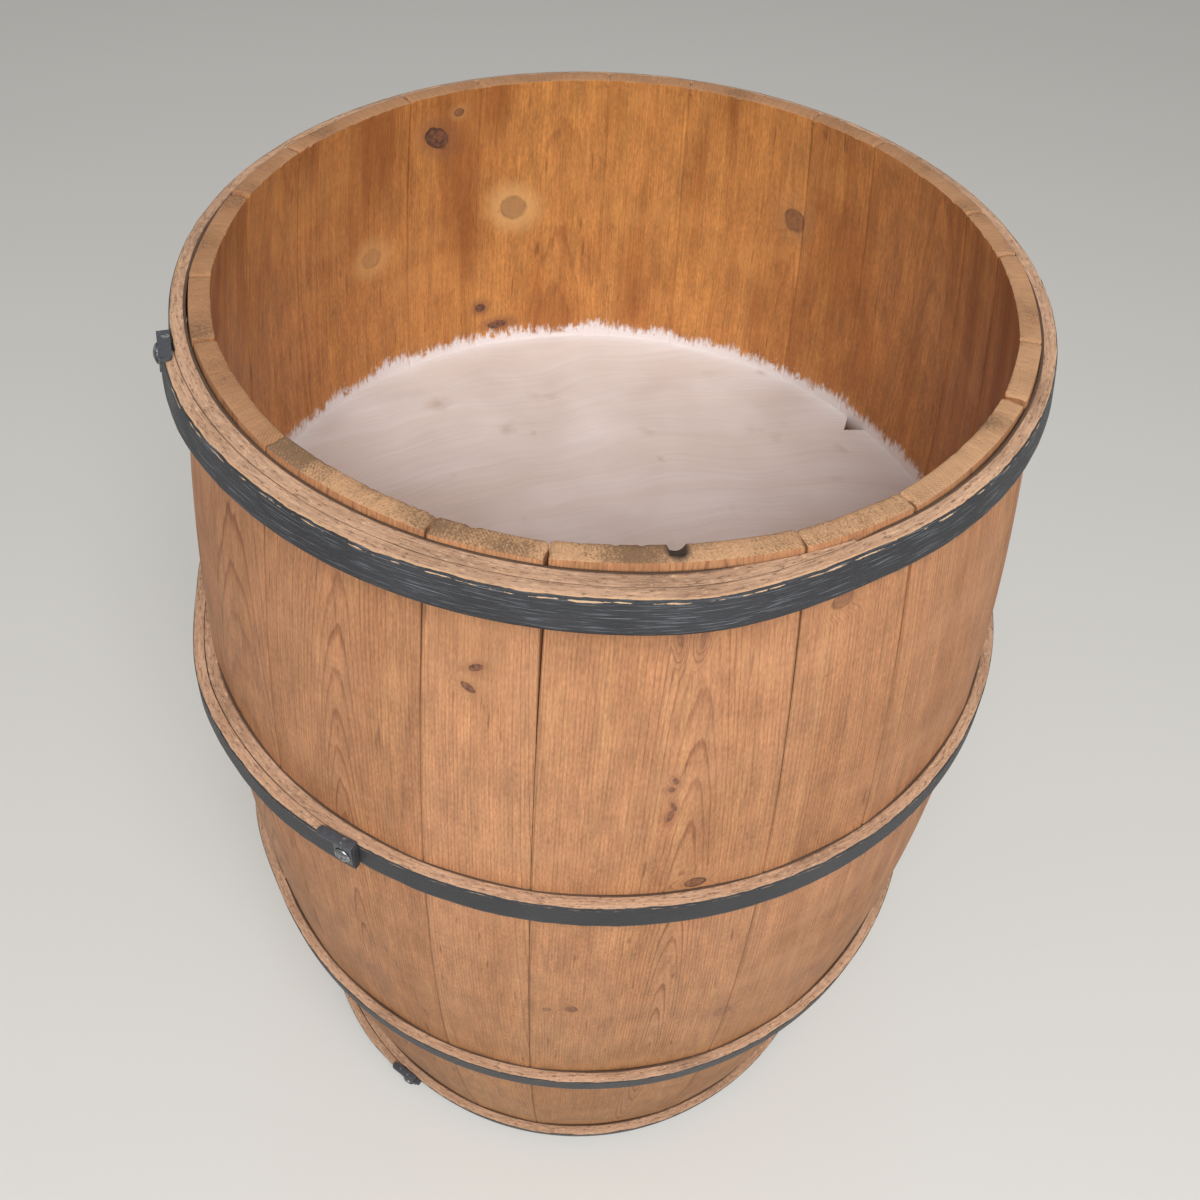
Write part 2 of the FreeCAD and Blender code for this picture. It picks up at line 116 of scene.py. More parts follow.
# Kinds of node, some with settings of their own. Inputs go by place: a range takes a value, the ends it
# comes from and those it goes to, a mix takes its factor and both sides, and a noise its vector, scale,
# detail and roughness. A scale is the number of patterns in a metre, so that 850 draws a grain of 1.2 mm.
MATH = "ShaderNodeMath"
VECTOR = "ShaderNodeVectorMath"
RANGE = "ShaderNodeMapRange"
MIX = "ShaderNodeMix"
NOISE = "ShaderNodeTexNoise"
ATTRIBUTE = "ShaderNodeAttribute"
SPLIT = "ShaderNodeSeparateXYZ"
JOIN = "ShaderNodeCombineXYZ"
GROUP = "ShaderNodeGroup"
STORE = "GeometryNodeStoreNamedAttribute"
READ = "GeometryNodeInputNamedAttribute"
POSITION = "GeometryNodeInputPosition"
MOVE = "GeometryNodeSetPosition"
SMOOTH = "GeometryNodeSetShadeSmooth"
PLUS, MINUS, TIMES, TIMES_PLUS, OVER, POWER, ROOT, SIGN, ABSOLUTE, SMALLER, LARGER, ABOVE, SINE, COSINE, BEARING = (
    (MATH, {"operation": operation}) for operation in (
        "ADD", "SUBTRACT", "MULTIPLY", "MULTIPLY_ADD", "DIVIDE", "POWER", "SQRT", "SIGN", "ABSOLUTE", "MINIMUM",
        "MAXIMUM", "GREATER_THAN", "SINE", "COSINE", "ARCTAN2"))
SHIFT, OFFSET, STRETCH, SHRINK, LENGTH, DISTANCE = (
    (VECTOR, {"operation": operation}) for operation in (
        "ADD", "SUBTRACT", "MULTIPLY", "DIVIDE", "LENGTH", "DISTANCE"))
EASE = (RANGE, {"interpolation_type": "SMOOTHSTEP"})
BLEND = (MIX, {"data_type": "RGBA"})
TINT = (MIX, {"data_type": "RGBA", "blend_type": "MULTIPLY"})
BETWEEN = (MIX, {"data_type": "FLOAT"})
NOISE_4D = (NOISE, {"noise_dimensions": "4D"})
GEOMETRY = {"Geometry": ("Geometry",)}


def srgb(code):
    """A hex colour as linear red, green, blue and alpha."""
    values = [int(code[place:place + 2], 16) / 255 for place in (1, 3, 5)]
    return [v / 12.92 if v <= 0.04045 else ((v + 0.055) / 1.055) ** 2.4 for v in values] + [1.0]


def connect(source, socket):
    """Gives a socket a value, a hex colour, another socket or a node's first output."""
    if isinstance(source, bpy.types.Node):
        source = next(output for output in source.outputs if output.enabled)
    if isinstance(source, bpy.types.NodeSocket):
        socket.id_data.links.new(source, socket)
    elif isinstance(source, str) and source.startswith("#"):
        socket.default_value = srgb(source)
    else:
        socket.default_value = source


def connect_all(sockets, **sources):
    """Connects sources to the sockets of their names, where an underscore stands for a space."""
    for name, source in sources.items():
        connect(source, sockets[name.replace("_", " ")])


def add(tree, kind, *inputs, **settings):
    """Adds one node with its settings and its links, with inputs by place or, from one dict, by name."""
    kind, presets = kind if isinstance(kind, tuple) else (kind, {})
    node = tree.nodes.new(kind)
    for name, value in {**presets, **settings}.items():
        setattr(node, name, value)
    sockets = [socket for socket in node.inputs if socket.enabled]
    named = {socket.name: socket for socket in reversed(sockets)}
    pairs = inputs[0].items() if inputs and isinstance(inputs[0], dict) else enumerate(inputs)
    for key, source in pairs:
        connect(source, named[key] if isinstance(key, str) else sockets[key])
    return node


def new_group(name, kind, inputs, outputs):
    """An empty node group with its sockets by type, what adds nodes to it, its inputs and its outputs."""
    tree = bpy.data.node_groups.new(name, kind)
    for way, sockets in (("INPUT", inputs), ("OUTPUT", outputs)):
        for socket_type, titles in sockets.items():
            for title in titles:
                tree.interface.new_socket(title, in_out=way, socket_type="NodeSocket" + socket_type)
    given = tree.nodes.new("NodeGroupInput").outputs
    result = tree.nodes.new("NodeGroupOutput").inputs
    return tree, partial(add, tree), given, result


def crowd(put, share):
    """Draws evenly spread points towards both ends of their span."""
    return put(TIMES_PLUS, put(COSINE, put(TIMES, share, math.pi)), -0.5, 0.5)


def stand_round(put, bearing, radius, height):
    """The point of the barrel at a bearing, a radius and a height."""
    x = put(TIMES, put(SINE, bearing), radius)
    y = put(TIMES, put(TIMES, put(COSINE, bearing), radius), -1)
    return put(JOIN, x, y, height)


def bend(put, mesh, place, vectors, numbers):
    """Stores what a material reads of a straight piece, then moves its points to their place."""
    for data_type, attributes in (("FLOAT_VECTOR", {**vectors, "bent": place}), ("FLOAT", numbers)):
        for name, value in attributes.items():
            mesh = put(STORE, {"Geometry": mesh, "Name": name, "Value": value}, data_type=data_type)
    mesh = put(MOVE, {"Geometry": mesh, "Position": put(READ, {"Name": "bent"}, data_type="FLOAT_VECTOR")})
    mesh = put("GeometryNodeRemoveAttribute", {"Geometry": mesh, "Name": "bent"})
    return put(SMOOTH, mesh)


def end_tree(put, mesh, given, result):
    """Ends a geometry tree in real geometry with its material."""
    mesh = put("GeometryNodeRealizeInstances", mesh)
    mesh = put("GeometryNodeSetMaterial", {"Geometry": mesh, "Material": given["Material"]})
    connect_all(result, Geometry=mesh)


def new_object(name, data):
    """An object in the scene."""
    item = bpy.data.objects.new(name, data)
    bpy.context.scene.collection.objects.link(item)
    return item


def grow(name, tree, sizes, seats=None):
    """Runs a geometry tree with the given sizes and keeps the result as a plain mesh object."""
    piece = new_object(name, seats or bpy.data.meshes.new(name))
    modifier = piece.modifiers.new(name, "NODES")
    modifier.node_group = tree
    for item in tree.interface.items_tree:
        if item.in_out == "INPUT" and item.name in sizes:
            modifier[item.identifier] = sizes[item.name]
    depsgraph = bpy.context.evaluated_depsgraph_get()
    evaluated = piece.evaluated_get(depsgraph)
    mesh = bpy.data.meshes.new_from_object(evaluated, preserve_all_data_layers=True, depsgraph=depsgraph)
    piece.modifiers.remove(modifier)
    piece.data = mesh
    mesh.name = name
    return piece


def fit_piece(piece, slot, *nodes):
    """Puts a finished piece in the place of CAD nodes."""
    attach(piece, "root")
    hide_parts(*nodes)


def new_material(name, **constants):
    """A material, its shader with what is the same all over, and what adds nodes to it."""
    material = bpy.data.materials.new(name)
    material.use_nodes = True
    shader = material.node_tree.nodes["Principled BSDF"]
    connect_all(shader.inputs, **constants)
    return material, shader, partial(add, material.node_tree)


def dress(shader, put, depth, relief, **sources):
    """Links what feeds a shader, with a relief of some depth."""
    bump = put("ShaderNodeBump", {"Distance": depth, "Height": relief})
    connect_all(shader.inputs, Normal=bump, **sources)


# Growth rings: rings round a wandering pith that runs along the third axis of the grain
def build_growth_rings():
    tree, put, given, result = new_group("growth rings", "ShaderNodeTree", {
        "Vector": ("Grain",), "Float": ("Spacing", "Push")}, {"Float": ("Latewood", "Fibre")})
    wander = put(NOISE, put(STRETCH, given["Grain"], (1, 1, 0.12)), 26, 2)
    shift = put(VECTOR, wander.outputs["Color"], (0.006, 0.006, 0), (-0.003, -0.003, 0), operation="MULTIPLY_ADD")
    radius = put(LENGTH, put(STRETCH, put(SHIFT, given["Grain"], shift), (1, 1, 0)))
    wobble = put(NOISE, put(STRETCH, given["Grain"], (1, 1, 0.05)), 240, 3)
    rings = put(PLUS, put(TIMES_PLUS, wobble, 0.5, put(OVER, radius, given["Spacing"])), given["Push"])
    part = put(MATH, rings, operation="FRACT")
    number = put(MATH, rings, operation="FLOOR")
    year = put("ShaderNodeTexWhiteNoise", {"W": number}, noise_dimensions="1D")
    band = put(TIMES, put(EASE, part, 0.55, 0.93), put(RANGE, part, 0.92, 1, 1, 0))
    latewood = put(TIMES, band, put(TIMES_PLUS, year, 0.75, 0.25))
    fibre = put(NOISE, put(STRETCH, given["Grain"], (1, 1, 0.02)), 700, 2)
    connect_all(result, Latewood=latewood, Fibre=fibre)
    return tree


# A knot: an oval heart and the swirl of grain round it, on one face of a stave
def build_knot():
    tree, put, given, result = new_group("pine knot", "ShaderNodeTree", {
        "Vector": ("Place", "Centre", "Reach"), "Float": ("Rough", "Tilt")}, {"Float": ("Heart", "Outline", "Halo")})
    offset = put(OFFSET, given["Place"], given["Centre"])
    tilted = put("ShaderNodeVectorRotate", {"Vector": offset, "Angle": given["Tilt"]}, rotation_type="Y_AXIS")
    ragged = put(TIMES_PLUS, given["Rough"], 0.5, put(LENGTH, put(SHRINK, tilted, given["Reach"])))
    heart = put(EASE, ragged, 1.1, 1.3, 1, 0)
    outline = put(EASE, put(ABSOLUTE, put(MINUS, ragged, 1.2)), 0.03, 0.2, 1, 0)
    halo = put(EASE, ragged, 1.2, 3.2, 1, 0)
    connect_all(result, Heart=heart, Outline=outline, Halo=halo)
    return tree


growth_rings = build_growth_rings()
pine_knot = build_knot()

RING_SPACING = 1.9 * MM

# Knots: bearing in degrees, height, half width and half height in mm, tilt in degrees, side,
# how dark the heart is and how pale the wood round it
KNOTS = (
    (-12.6, 658, 4.2, 2.0, 25, "outside", 0.95, 0.1),
    (-13.4, 645, 4.4, 2.2, -30, "outside", 0.95, 0.2),
    (28.4, 688, 7, 4.5, 15, "outside", 0.5, 0.1),
    (14.1, 507, 6, 4, 10, "outside", 0.8, 0.2),
    (9.3, 686, 1.8, 9, 4, "outside", 0.5, 0.0),
    (12.0, 684, 2.0, 8, -6, "outside", 0.45, 0.0),
    (10.3, 594, 1.7, 2.6, 30, "outside", 0.7, 0.0),
    (9.9, 588, 2.0, 1.8, -20, "outside", 0.7, 0.0),
    (10.4, 575, 1.4, 4, 15, "outside", 0.75, 0.0),
    (10.1, 568, 1.8, 4.5, -10, "outside", 0.75, 0.0),
    (0.2, 360, 4, 4, 0, "outside", 0.7, 0.1),
    (-3.1, 357, 3, 3, 0, "outside", 0.5, 0.1),
    (22.4, 324, 6, 8, 20, "outside", 0.35, 0.0),
    (-145.3, 692, 11, 7, 30, "inside", 0.95, 0.1),
    (-160.2, 624, 11.5, 9.5, 35, "inside", 0.42, 0.75),
    (-132.4, 613, 9, 8, 20, "inside", 0.25, 0.4),
    (147.9, 642, 9, 9.5, -20, "inside", 0.6, 0.2),
    (-154.3, 535, 4, 4, 0, "inside", 1.0, 0.0),
    (-157.6, 516, 8, 4, 0, "inside", 1.0, 0.0),
    (-149.3, 708, 4, 3, 0, "inside", 0.6, 0.3),
    (96.0, 330, 9, 8, 15, "outside", 0.5, 0.2),
    (176.0, 560, 10, 8, -20, "outside", 0.6, 0.3),
    (212.0, 290, 8, 7, 10, "outside", 0.55, 0.2),
    (252.0, 600, 9, 6, -15, "outside", 0.7, 0.3),
    (300.0, 255, 7, 6, 5, "outside", 0.5, 0.2),
)

# A mark narrower than this is resin in the wood, with no ring round it
RESIN_MARK = 2.5

RIM_SPAN = 9 * MM
SAW_MARK = 2.2 * MM
NOTCH_BEARING = math.radians(8.7)
NOTCH_HALF_WIDTH = 4.6 * MM
NOTCH_DEPTH = 4 * MM


# Flat-sawn pine under an old amber varnish: ring lines and flames on the faces, rings cut across
# on the rim, grey weathered end grain, and brushed white paint creeping up from the floor
def stave_pine():
    material, shader, put = new_material("flat-sawn pine, worn amber varnish", IOR=1.5)
    place, grain = (put(ATTRIBUTE, attribute_name=name).outputs["Vector"] for name in ("place", "grain"))
    tone, edge = (put(ATTRIBUTE, attribute_name=name).outputs["Fac"] for name in ("tone", "edge"))
    arc, depth, height = put(SPLIT, place).outputs
    inside = put(RANGE, depth, 0.7 * STAVE_THICKNESS, 0.9 * STAVE_THICKNESS)

    # Knots
    rough = put(NOISE, place, 160, 3)
    heart = outline = halo = smudge = push = 0.0
    for bearing, z, half_width, half_height, tilt, side, dark, pale in KNOTS:
        round_from_seam = (bearing - math.degrees(FIRST_SEAM)) % 360
        face = STAVE_THICKNESS if side == "inside" else 0.0
        centre = ((math.radians(round_from_seam) + FIRST_SEAM) * bilge_radius, face, z * MM)
        reach = (half_width * MM, STAVE_THICKNESS / 4, half_height * MM)
        knot = put(GROUP, {"Place": place, "Rough": rough, "Centre": centre, "Reach": reach,
                           "Tilt": math.radians(tilt)}, node_tree=pine_knot)
        core, ring, swirl = knot.outputs
        heart = put(LARGER, put(TIMES, core, dark), heart)
        outline = put(LARGER, put(TIMES, ring, dark if half_width > RESIN_MARK else 0), outline)
        halo = put(LARGER, put(TIMES, swirl, pale), halo)
        smudge = put(LARGER, put(TIMES, swirl, dark - pale), smudge)
        push = put(LARGER, swirl, push)

    push = put(TIMES, push, 2.5)
    rings = put(GROUP, {"Grain": grain, "Spacing": RING_SPACING, "Push": push}, node_tree=growth_rings)
    latewood, fibre = rings.outputs

    # Heartwood tone, blotches 60 mm across and long streaks 8 mm wide
    base = put(BLEND, tone, "#CE976C", "#B57E54")
    blotch = put(NOISE, put(STRETCH, place, (1, 1, 0.3)), 16, 4)
    base = put(BLEND, put(RANGE, blotch, 0.45, 0.72, 0, 0.45), base, "#A06B3E")
    streak = put(NOISE, put(STRETCH, grain, (1, 1, 0.025)), 130, 3)
    base = put(BLEND, put(RANGE, streak, 0.5, 0.75, 0, 0.4), base, "#D9A873")

    # Ring lines, fibres 1.4 mm wide and resin flecks 3 mm wide
    off_pith = put(ABSOLUTE, put(SPLIT, grain).outputs["X"])
    line = put(TIMES, latewood, put(RANGE, off_pith, 5 * MM, 24 * MM, 0.8, 0.5))
    wood = put(BLEND, put(TIMES, line, put(TIMES_PLUS, inside, -0.45, 1)), base, "#834A2B")
    wood = put(TINT, 1, wood, put(RANGE, fibre, 0.3, 0.7, 0.84, 1.1))
    fleck = put(NOISE, put(STRETCH, grain, (1, 1, 0.1)), 330, 1)
    wood = put(BLEND, put(RANGE, fleck, 0.7, 0.78, 0, 0.55), wood, "#6E4526")

    # Mottle 14 mm across, and grit of 1.1 mm, coarser than the real pores so that it shows
    mottle = put(NOISE, put(STRETCH, place, (1, 1, 0.4)), 70, 4, 0.65)
    wood = put(TINT, 1, wood, put(RANGE, mottle, 0.3, 0.7, 0.8, 1.17))
    grit = put(NOISE, put(STRETCH, place, (1, 1, 0.3)), 900, 2)
    wood = put(TINT, 1, wood, put(RANGE, grit, 0.3, 0.7, 0.82, 1.14))

    # Scuffs 30 mm high across the boards, paler than the wood
    scuff = put(NOISE, put(STRETCH, place, (0.3, 1, 1)), 34, 4, 0.6)
    wood = put(BLEND, put(RANGE, scuff, 0.5, 0.75, 0, 0.35), wood, "#D8A57B")

    # Varnish runs 13 mm wide inside; the wood turns darker and yellower towards the bottom
    run = put(NOISE, put(STRETCH, place, (1, 1, 0.07)), 75, 4, 0.6)
    wood = put(BLEND, put(TIMES, put(RANGE, run, 0.5, 0.75, 0, 0.5), inside), wood, "#8A5224")
    wood = put(BLEND, put(TIMES, put(RANGE, blotch, 0.5, 0.66, 0, 0.5), inside), wood, "#8B4E25")
    wood = put(BLEND, put(RANGE, height, 0.45, 0.12), wood, put(TINT, 1, wood, "#E7E4C9"))

    # The inside kept its varnish and is amber; the outside is weathered duller
    wood = put(TINT, 1, wood, put(BLEND, inside, "#E0D9D5", "#FFECB2"))

    # Knots in the wood
    wood = put(BLEND, put(TIMES, smudge, 0.5), put(BLEND, halo, wood, "#DDAA6C"), "#774530")
    heart_marked = put(RANGE, put(NOISE, place, 420, 3), 0.35, 0.62)
    wood = put(BLEND, heart, wood, put(BLEND, heart_marked, "#4B3026", "#80513A"))
    wood = put(BLEND, put(TIMES, outline, put(RANGE, mottle, 0.4, 0.58)), wood, "#3E281F")

    # Grime along the seams
    grime_reach = put(TIMES_PLUS, put(NOISE, place, 60, 4), 7 * MM, -1.8 * MM)
    grime = put(RANGE, edge, 0, grime_reach, put(TIMES_PLUS, inside, -0.14, 0.3), 0)
    wood = put(BLEND, grime, wood, "#5F3D24")

    # End grain on the rim: specks of 1.2 mm, weathered in patches of 36 mm, with saw marks 2 mm apart
    normal = put(SPLIT, put("ShaderNodeNewGeometry").outputs["Normal"])
    upward = put(RANGE, normal.outputs["Z"], 0.35, 0.7)
    rim = put(TIMES, upward, put(RANGE, height, stave_length - RIM_SPAN, stave_length - RIM_SPAN / 2))
    weather = put(NOISE, place, 850, 4, 0.8)
    patch = put(NOISE, place, 28, 2)
    speck_level = put(TIMES_PLUS, patch, 0.6, put(RANGE, arc, 0.1, 0.3, 0.12, 0))
    specked = put(RANGE, put(PLUS, weather, speck_level), 0.9, 0.98, 0, 0.58)
    end_grain = put(BLEND, put(TIMES, latewood, 0.35), "#C4976F", "#946540")
    end_grain = put(BLEND, put(RANGE, patch, 0.44, 0.66, 0, 0.6), end_grain, "#98714D")
    end_grain = put(BLEND, put(RANGE, arc, 0.2, 0.6, 0, 0.6), end_grain, "#9E6A42")
    saw = put(NOISE, put(STRETCH, place, (1, 0.2, 0)), 520, 3, 0.6)
    end_grain = put(TINT, 1, end_grain, put(RANGE, saw, 0.3, 0.7, 0.84, 1.14))
    kerf = put(SINE, put(TIMES, put(PLUS, arc, depth), FULL_TURN / SAW_MARK))
    kerf_seen = put(RANGE, put(NOISE, place, 14, 1), 0.48, 0.56, 0, 0.34)
    kerf_dark = put(TIMES, put(RANGE, kerf, 0.1, 0.8), kerf_seen)
    end_grain = put(BLEND, specked, put(BLEND, kerf_dark, end_grain, "#7A5636"), "#54412F")
    wood = put(BLEND, rim, wood, end_grain)

    # Burn round the notch in the front rim
    notch_centre = (NOTCH_BEARING * bilge_radius, STAVE_THICKNESS * 0.7, stave_length)
    burn_ragged = put(TIMES_PLUS, weather, 6 * MM, put(DISTANCE, place, notch_centre))
    burn = put(RANGE, burn_ragged, NOTCH_HALF_WIDTH + 3 * MM, NOTCH_HALF_WIDTH + 6 * MM, 0.95, 0)
    wood = put(BLEND, burn, wood, "#33271E")

    # White paint brushed up from the floor in short strokes 3 mm wide
    stroke = put(NOISE, put(STRETCH, place, (1, 1, 0.22)), 360, 5, 0.7)
    sweep = put(NOISE, put(STRETCH, place, (1, 0, 0)), 22, 2)
    reach = put(TIMES_PLUS, sweep, 26 * MM, put(TIMES_PLUS, stroke, 30 * MM, floor_top - 12 * MM))
    brushed = put(RANGE, put(MINUS, reach, height), 3 * MM, 10 * MM)
    above_floor = put(RANGE, height, floor_under, floor_top - 2 * MM)
    covered = put(RANGE, put(NOISE, put(STRETCH, place, (1, 1, 0.5)), 150, 4, 0.65), 0.64, 0.56)
    covered = put(LARGER, covered, put(RANGE, height, floor_top + 6 * MM, floor_top + 2 * MM))
    paint = put(TIMES, put(TIMES, put(TIMES, brushed, covered), inside), above_floor)
    colour = put(BLEND, paint, wood, "#E6DEDD")

    gloss = put(TIMES_PLUS, inside, -0.16, put(RANGE, blotch, 0.35, 0.7, 0.64, 0.8))
    relief = put(TIMES_PLUS, paint, 0.3, put(TIMES_PLUS, latewood, 0.05, put(TIMES, fibre, 0.06)))
    relief = put(TIMES_PLUS, put(TIMES, weather, rim), 1, relief)
    dress(shader, put, MM, relief, Base_Color=colour, Roughness=gloss)
    return material


stave_material = stave_pine()

# How far down a stave its rim is worn, leans in and gapes, the height up to which its seams are shut, and
# the points of its mesh
RIM_REACH = 20 * MM
LEAN_REACH = 160 * MM
GAPE_REACH = 45 * MM
SEAMS_SHUT = 600 * MM
STAVE_POINTS_THROUGH = 9
STAVE_POINTS_UP = 171


# Staves: one tree bends a board to the barrel's round and bow and wears its edges
def build_stave_tree():
    tree, put, given, result = new_group("bowed stave", "GeometryNodeTree", {
        "Float": ("Start", "Sweep", "Length", "Bilge Radius", "Bow Radius", "Thickness", "Flatness", "Edge Ease",
                  "Left Gap", "Right Gap", "Top Drop", "Rim Bevel", "Chips", "Rim Inset", "Notch Bearing",
                  "Notch Half Width", "Notch Depth", "Pith Offset", "Pith Depth", "Pith Drift", "Tone", "Seed"),
        "Int": ("Points Across",), "Material": ("Material",)}, GEOMETRY)
    board = put("GeometryNodeMeshCube", (1, 1, 1), given["Points Across"], STAVE_POINTS_THROUGH, STAVE_POINTS_UP)
    share = put(SHIFT, put(POSITION), (0.5, 0.5, 0.5))
    x, y, z = put(SPLIT, share).outputs
    length = given["Length"]
    bilge = given["Bilge Radius"]

    # Points crowd towards the long edges, the faces and the rim, where the wear is
    across = crowd(put, x)
    depth = crowd(put, y)
    below_rim = put(POWER, put(MINUS, 1, z), 1.8)
    height = put(TIMES, put(MINUS, 1, below_rim), length)

    # Distance from the nearer seam
    other_side = put(MINUS, 1, across)
    nearer = put(SMALLER, across, other_side)
    width = put(TIMES, given["Sweep"], bilge)
    edge = put(TIMES, nearer, width)
    at_edge = put(EASE, edge, 0, given["Edge Ease"], 1, 0)
    at_right = put(ABOVE, across, 0.5)

    # Wear that differs from place to place
    wear_place = put(JOIN, put(TIMES, across, width), 0, height)
    depth_place = put(JOIN, 0, put(TIMES, depth, given["Thickness"]), 0)
    chip_noise = put(NOISE_4D, put(SHIFT, wear_place, depth_place), given["Seed"], 230, 4)
    slow_noise = put(NOISE_4D, wear_place, given["Seed"], 9, 2)
    seam_noise = put(NOISE_4D, put(STRETCH, wear_place, (1, 0, 1)), given["Seed"], 40, 3)

    # The rim: bevelled inside, eased outside, chipped, and lower at the corners
    near_rim = put(EASE, height, put(MINUS, length, RIM_REACH), length)
    inner_bevel = put(RANGE, depth, 0.82, 1)
    outer_ease = put(RANGE, depth, 0.15, 0)
    chip = put(TIMES, put(RANGE, chip_noise, 0.52, 0.66), put(TIMES_PLUS, inner_bevel, 0.85, 0.15))
    chip = put(TIMES, chip, given["Chips"])
    lowered = put(TIMES_PLUS, inner_bevel, given["Rim Bevel"], given["Top Drop"])
    lowered = put(PLUS, put(TIMES_PLUS, outer_ease, 0.4 * MM, lowered), chip)
    lowered = put(TIMES_PLUS, put(TIMES, put(EASE, edge, 0, 3 * MM, 1, 0), chip_noise), 1.8 * MM, lowered)

    bearing = put(TIMES_PLUS, across, given["Sweep"], given["Start"])
    notch_span = put(TIMES, put(MINUS, bearing, given["Notch Bearing"]), bilge)
    notch_share = put(SMALLER, put(OVER, put(ABSOLUTE, notch_span), given["Notch Half Width"]), 1)
    notch_side = put(ROOT, put(MINUS, 1, put(TIMES, notch_share, notch_share)))
    notch = put(TIMES, notch_side, put(EASE, depth, 0.3, 0.6))
    level = put(MINUS, height, put(TIMES, put(TIMES_PLUS, notch, given["Notch Depth"], lowered), near_rim))

    # The bowed wall between its outer and inner arcs
    from_middle = put(POWER, put(MINUS, height, put(TIMES, length, 0.5)), 2)
    radii = []
    for reach in (given["Bow Radius"], put(MINUS, given["Bow Radius"], given["Thickness"])):
        leg = put(MINUS, put(TIMES, reach, reach), from_middle)
        radii.append(put(ROOT, leg))
    radius = put(PLUS, put(BETWEEN, depth, *radii), put(MINUS, bilge, given["Bow Radius"]))

    # Flatter than the round, leaning in a little at the rim, with eased long edges
    hollow = put(TIMES, put(TIMES, across, other_side), 4)
    radius = put(MINUS, radius, put(TIMES, hollow, given["Flatness"]))
    lean = put(EASE, height, put(MINUS, length, LEAN_REACH), length)
    radius = put(MINUS, radius, put(TIMES, lean, given["Rim Inset"]))
    radius = put(TIMES_PLUS, slow_noise, -0.8 * MM, radius)
    radius = put(TIMES_PLUS, put(TIMES, at_edge, put(TIMES_PLUS, depth, 2, -1)), 0.5 * MM, radius)

    # Seams open towards the rim
    gap = put(BETWEEN, at_right, given["Left Gap"], given["Right Gap"])
    gap = put(TIMES_PLUS, seam_noise, 0.35 * MM, put(TIMES, gap, put(EASE, height, SEAMS_SHUT, length)))
    shoulder = put(LARGER, put(TIMES_PLUS, depth, -2, 1), put(TIMES_PLUS, depth, 1.6, -1.28))
    gaping = put(RANGE, height, put(MINUS, length, GAPE_REACH), length)
    gaping = put(TIMES, gaping, put(RANGE, depth, 0.66, 0.35))
    gap = put(BETWEEN, put(LARGER, shoulder, gaping), -SEAM_CLEARANCE / 2, gap)
    gap_turn = put(OVER, put(TIMES, gap, at_edge), bilge)
    bearing_worn = put(TIMES_PLUS, gap_turn, put(TIMES_PLUS, at_right, -2, 1), bearing)

    # What the wood material reads, stored before the board is bent
    arc = put(TIMES, bearing, bilge)
    below_face = put(TIMES, depth, given["Thickness"])
    place = put(JOIN, arc, below_face, height)
    grain_across = put(TIMES_PLUS, put(MINUS, across, 0.5), width, given["Pith Offset"])
    grain_depth = put(MINUS, put(TIMES_PLUS, height, given["Pith Drift"], given["Pith Depth"]), below_face)
    grain = put(JOIN, grain_across, grain_depth, put(TIMES_PLUS, given["Seed"], 1.7, height))
    bent = stand_round(put, bearing_worn, radius, level)
    board = bend(put, board, bent, {"place": place, "grain": grain}, {"edge": edge, "tone": given["Tone"]})
    end_tree(put, board, given, result)
    return tree


# Seams that gape at the rim, by the number of the stave on their right
SEAM_GAPS = {1: 1.6 * MM, 2: 1.2 * MM, 3: 2.0 * MM, 4: 0.5 * MM, 5: 2.6 * MM, 6: 0.7 * MM}
USUAL_GAP = 0.4 * MM
POINT_SPACING = 1.7 * MM
NOTCHED_POINTS = 121
BACK_STAVES = range(6, 17)
BACK_DROP = 0.3
STAVE_SEED = 7

# Boards whose flames show in front: offset of the pith from the board's middle, its depth and drift
PITHS = {1: (-2 * MM, -16 * MM, 0.055), 3: (-16 * MM, -14 * MM, 0.055), 4: (60 * MM, 30 * MM, 0.01),
         5: (80 * MM, 30 * MM, 0.01), 12: (75 * MM, 40 * MM, 0.01)}

# Boards known by their tone, from 0 for the palest to 1
TONES = {1: 0.45, 2: 0.0, 3: 0.2, 4: 0.3, 5: 0.38, 6: 0.6, 7: 1.0, 8: 0.9, 9: 0.8, 10: 0.9, 11: 0.3, 12: 0.2, 13: 0.3,
         14: 0.6, 15: 0.7}

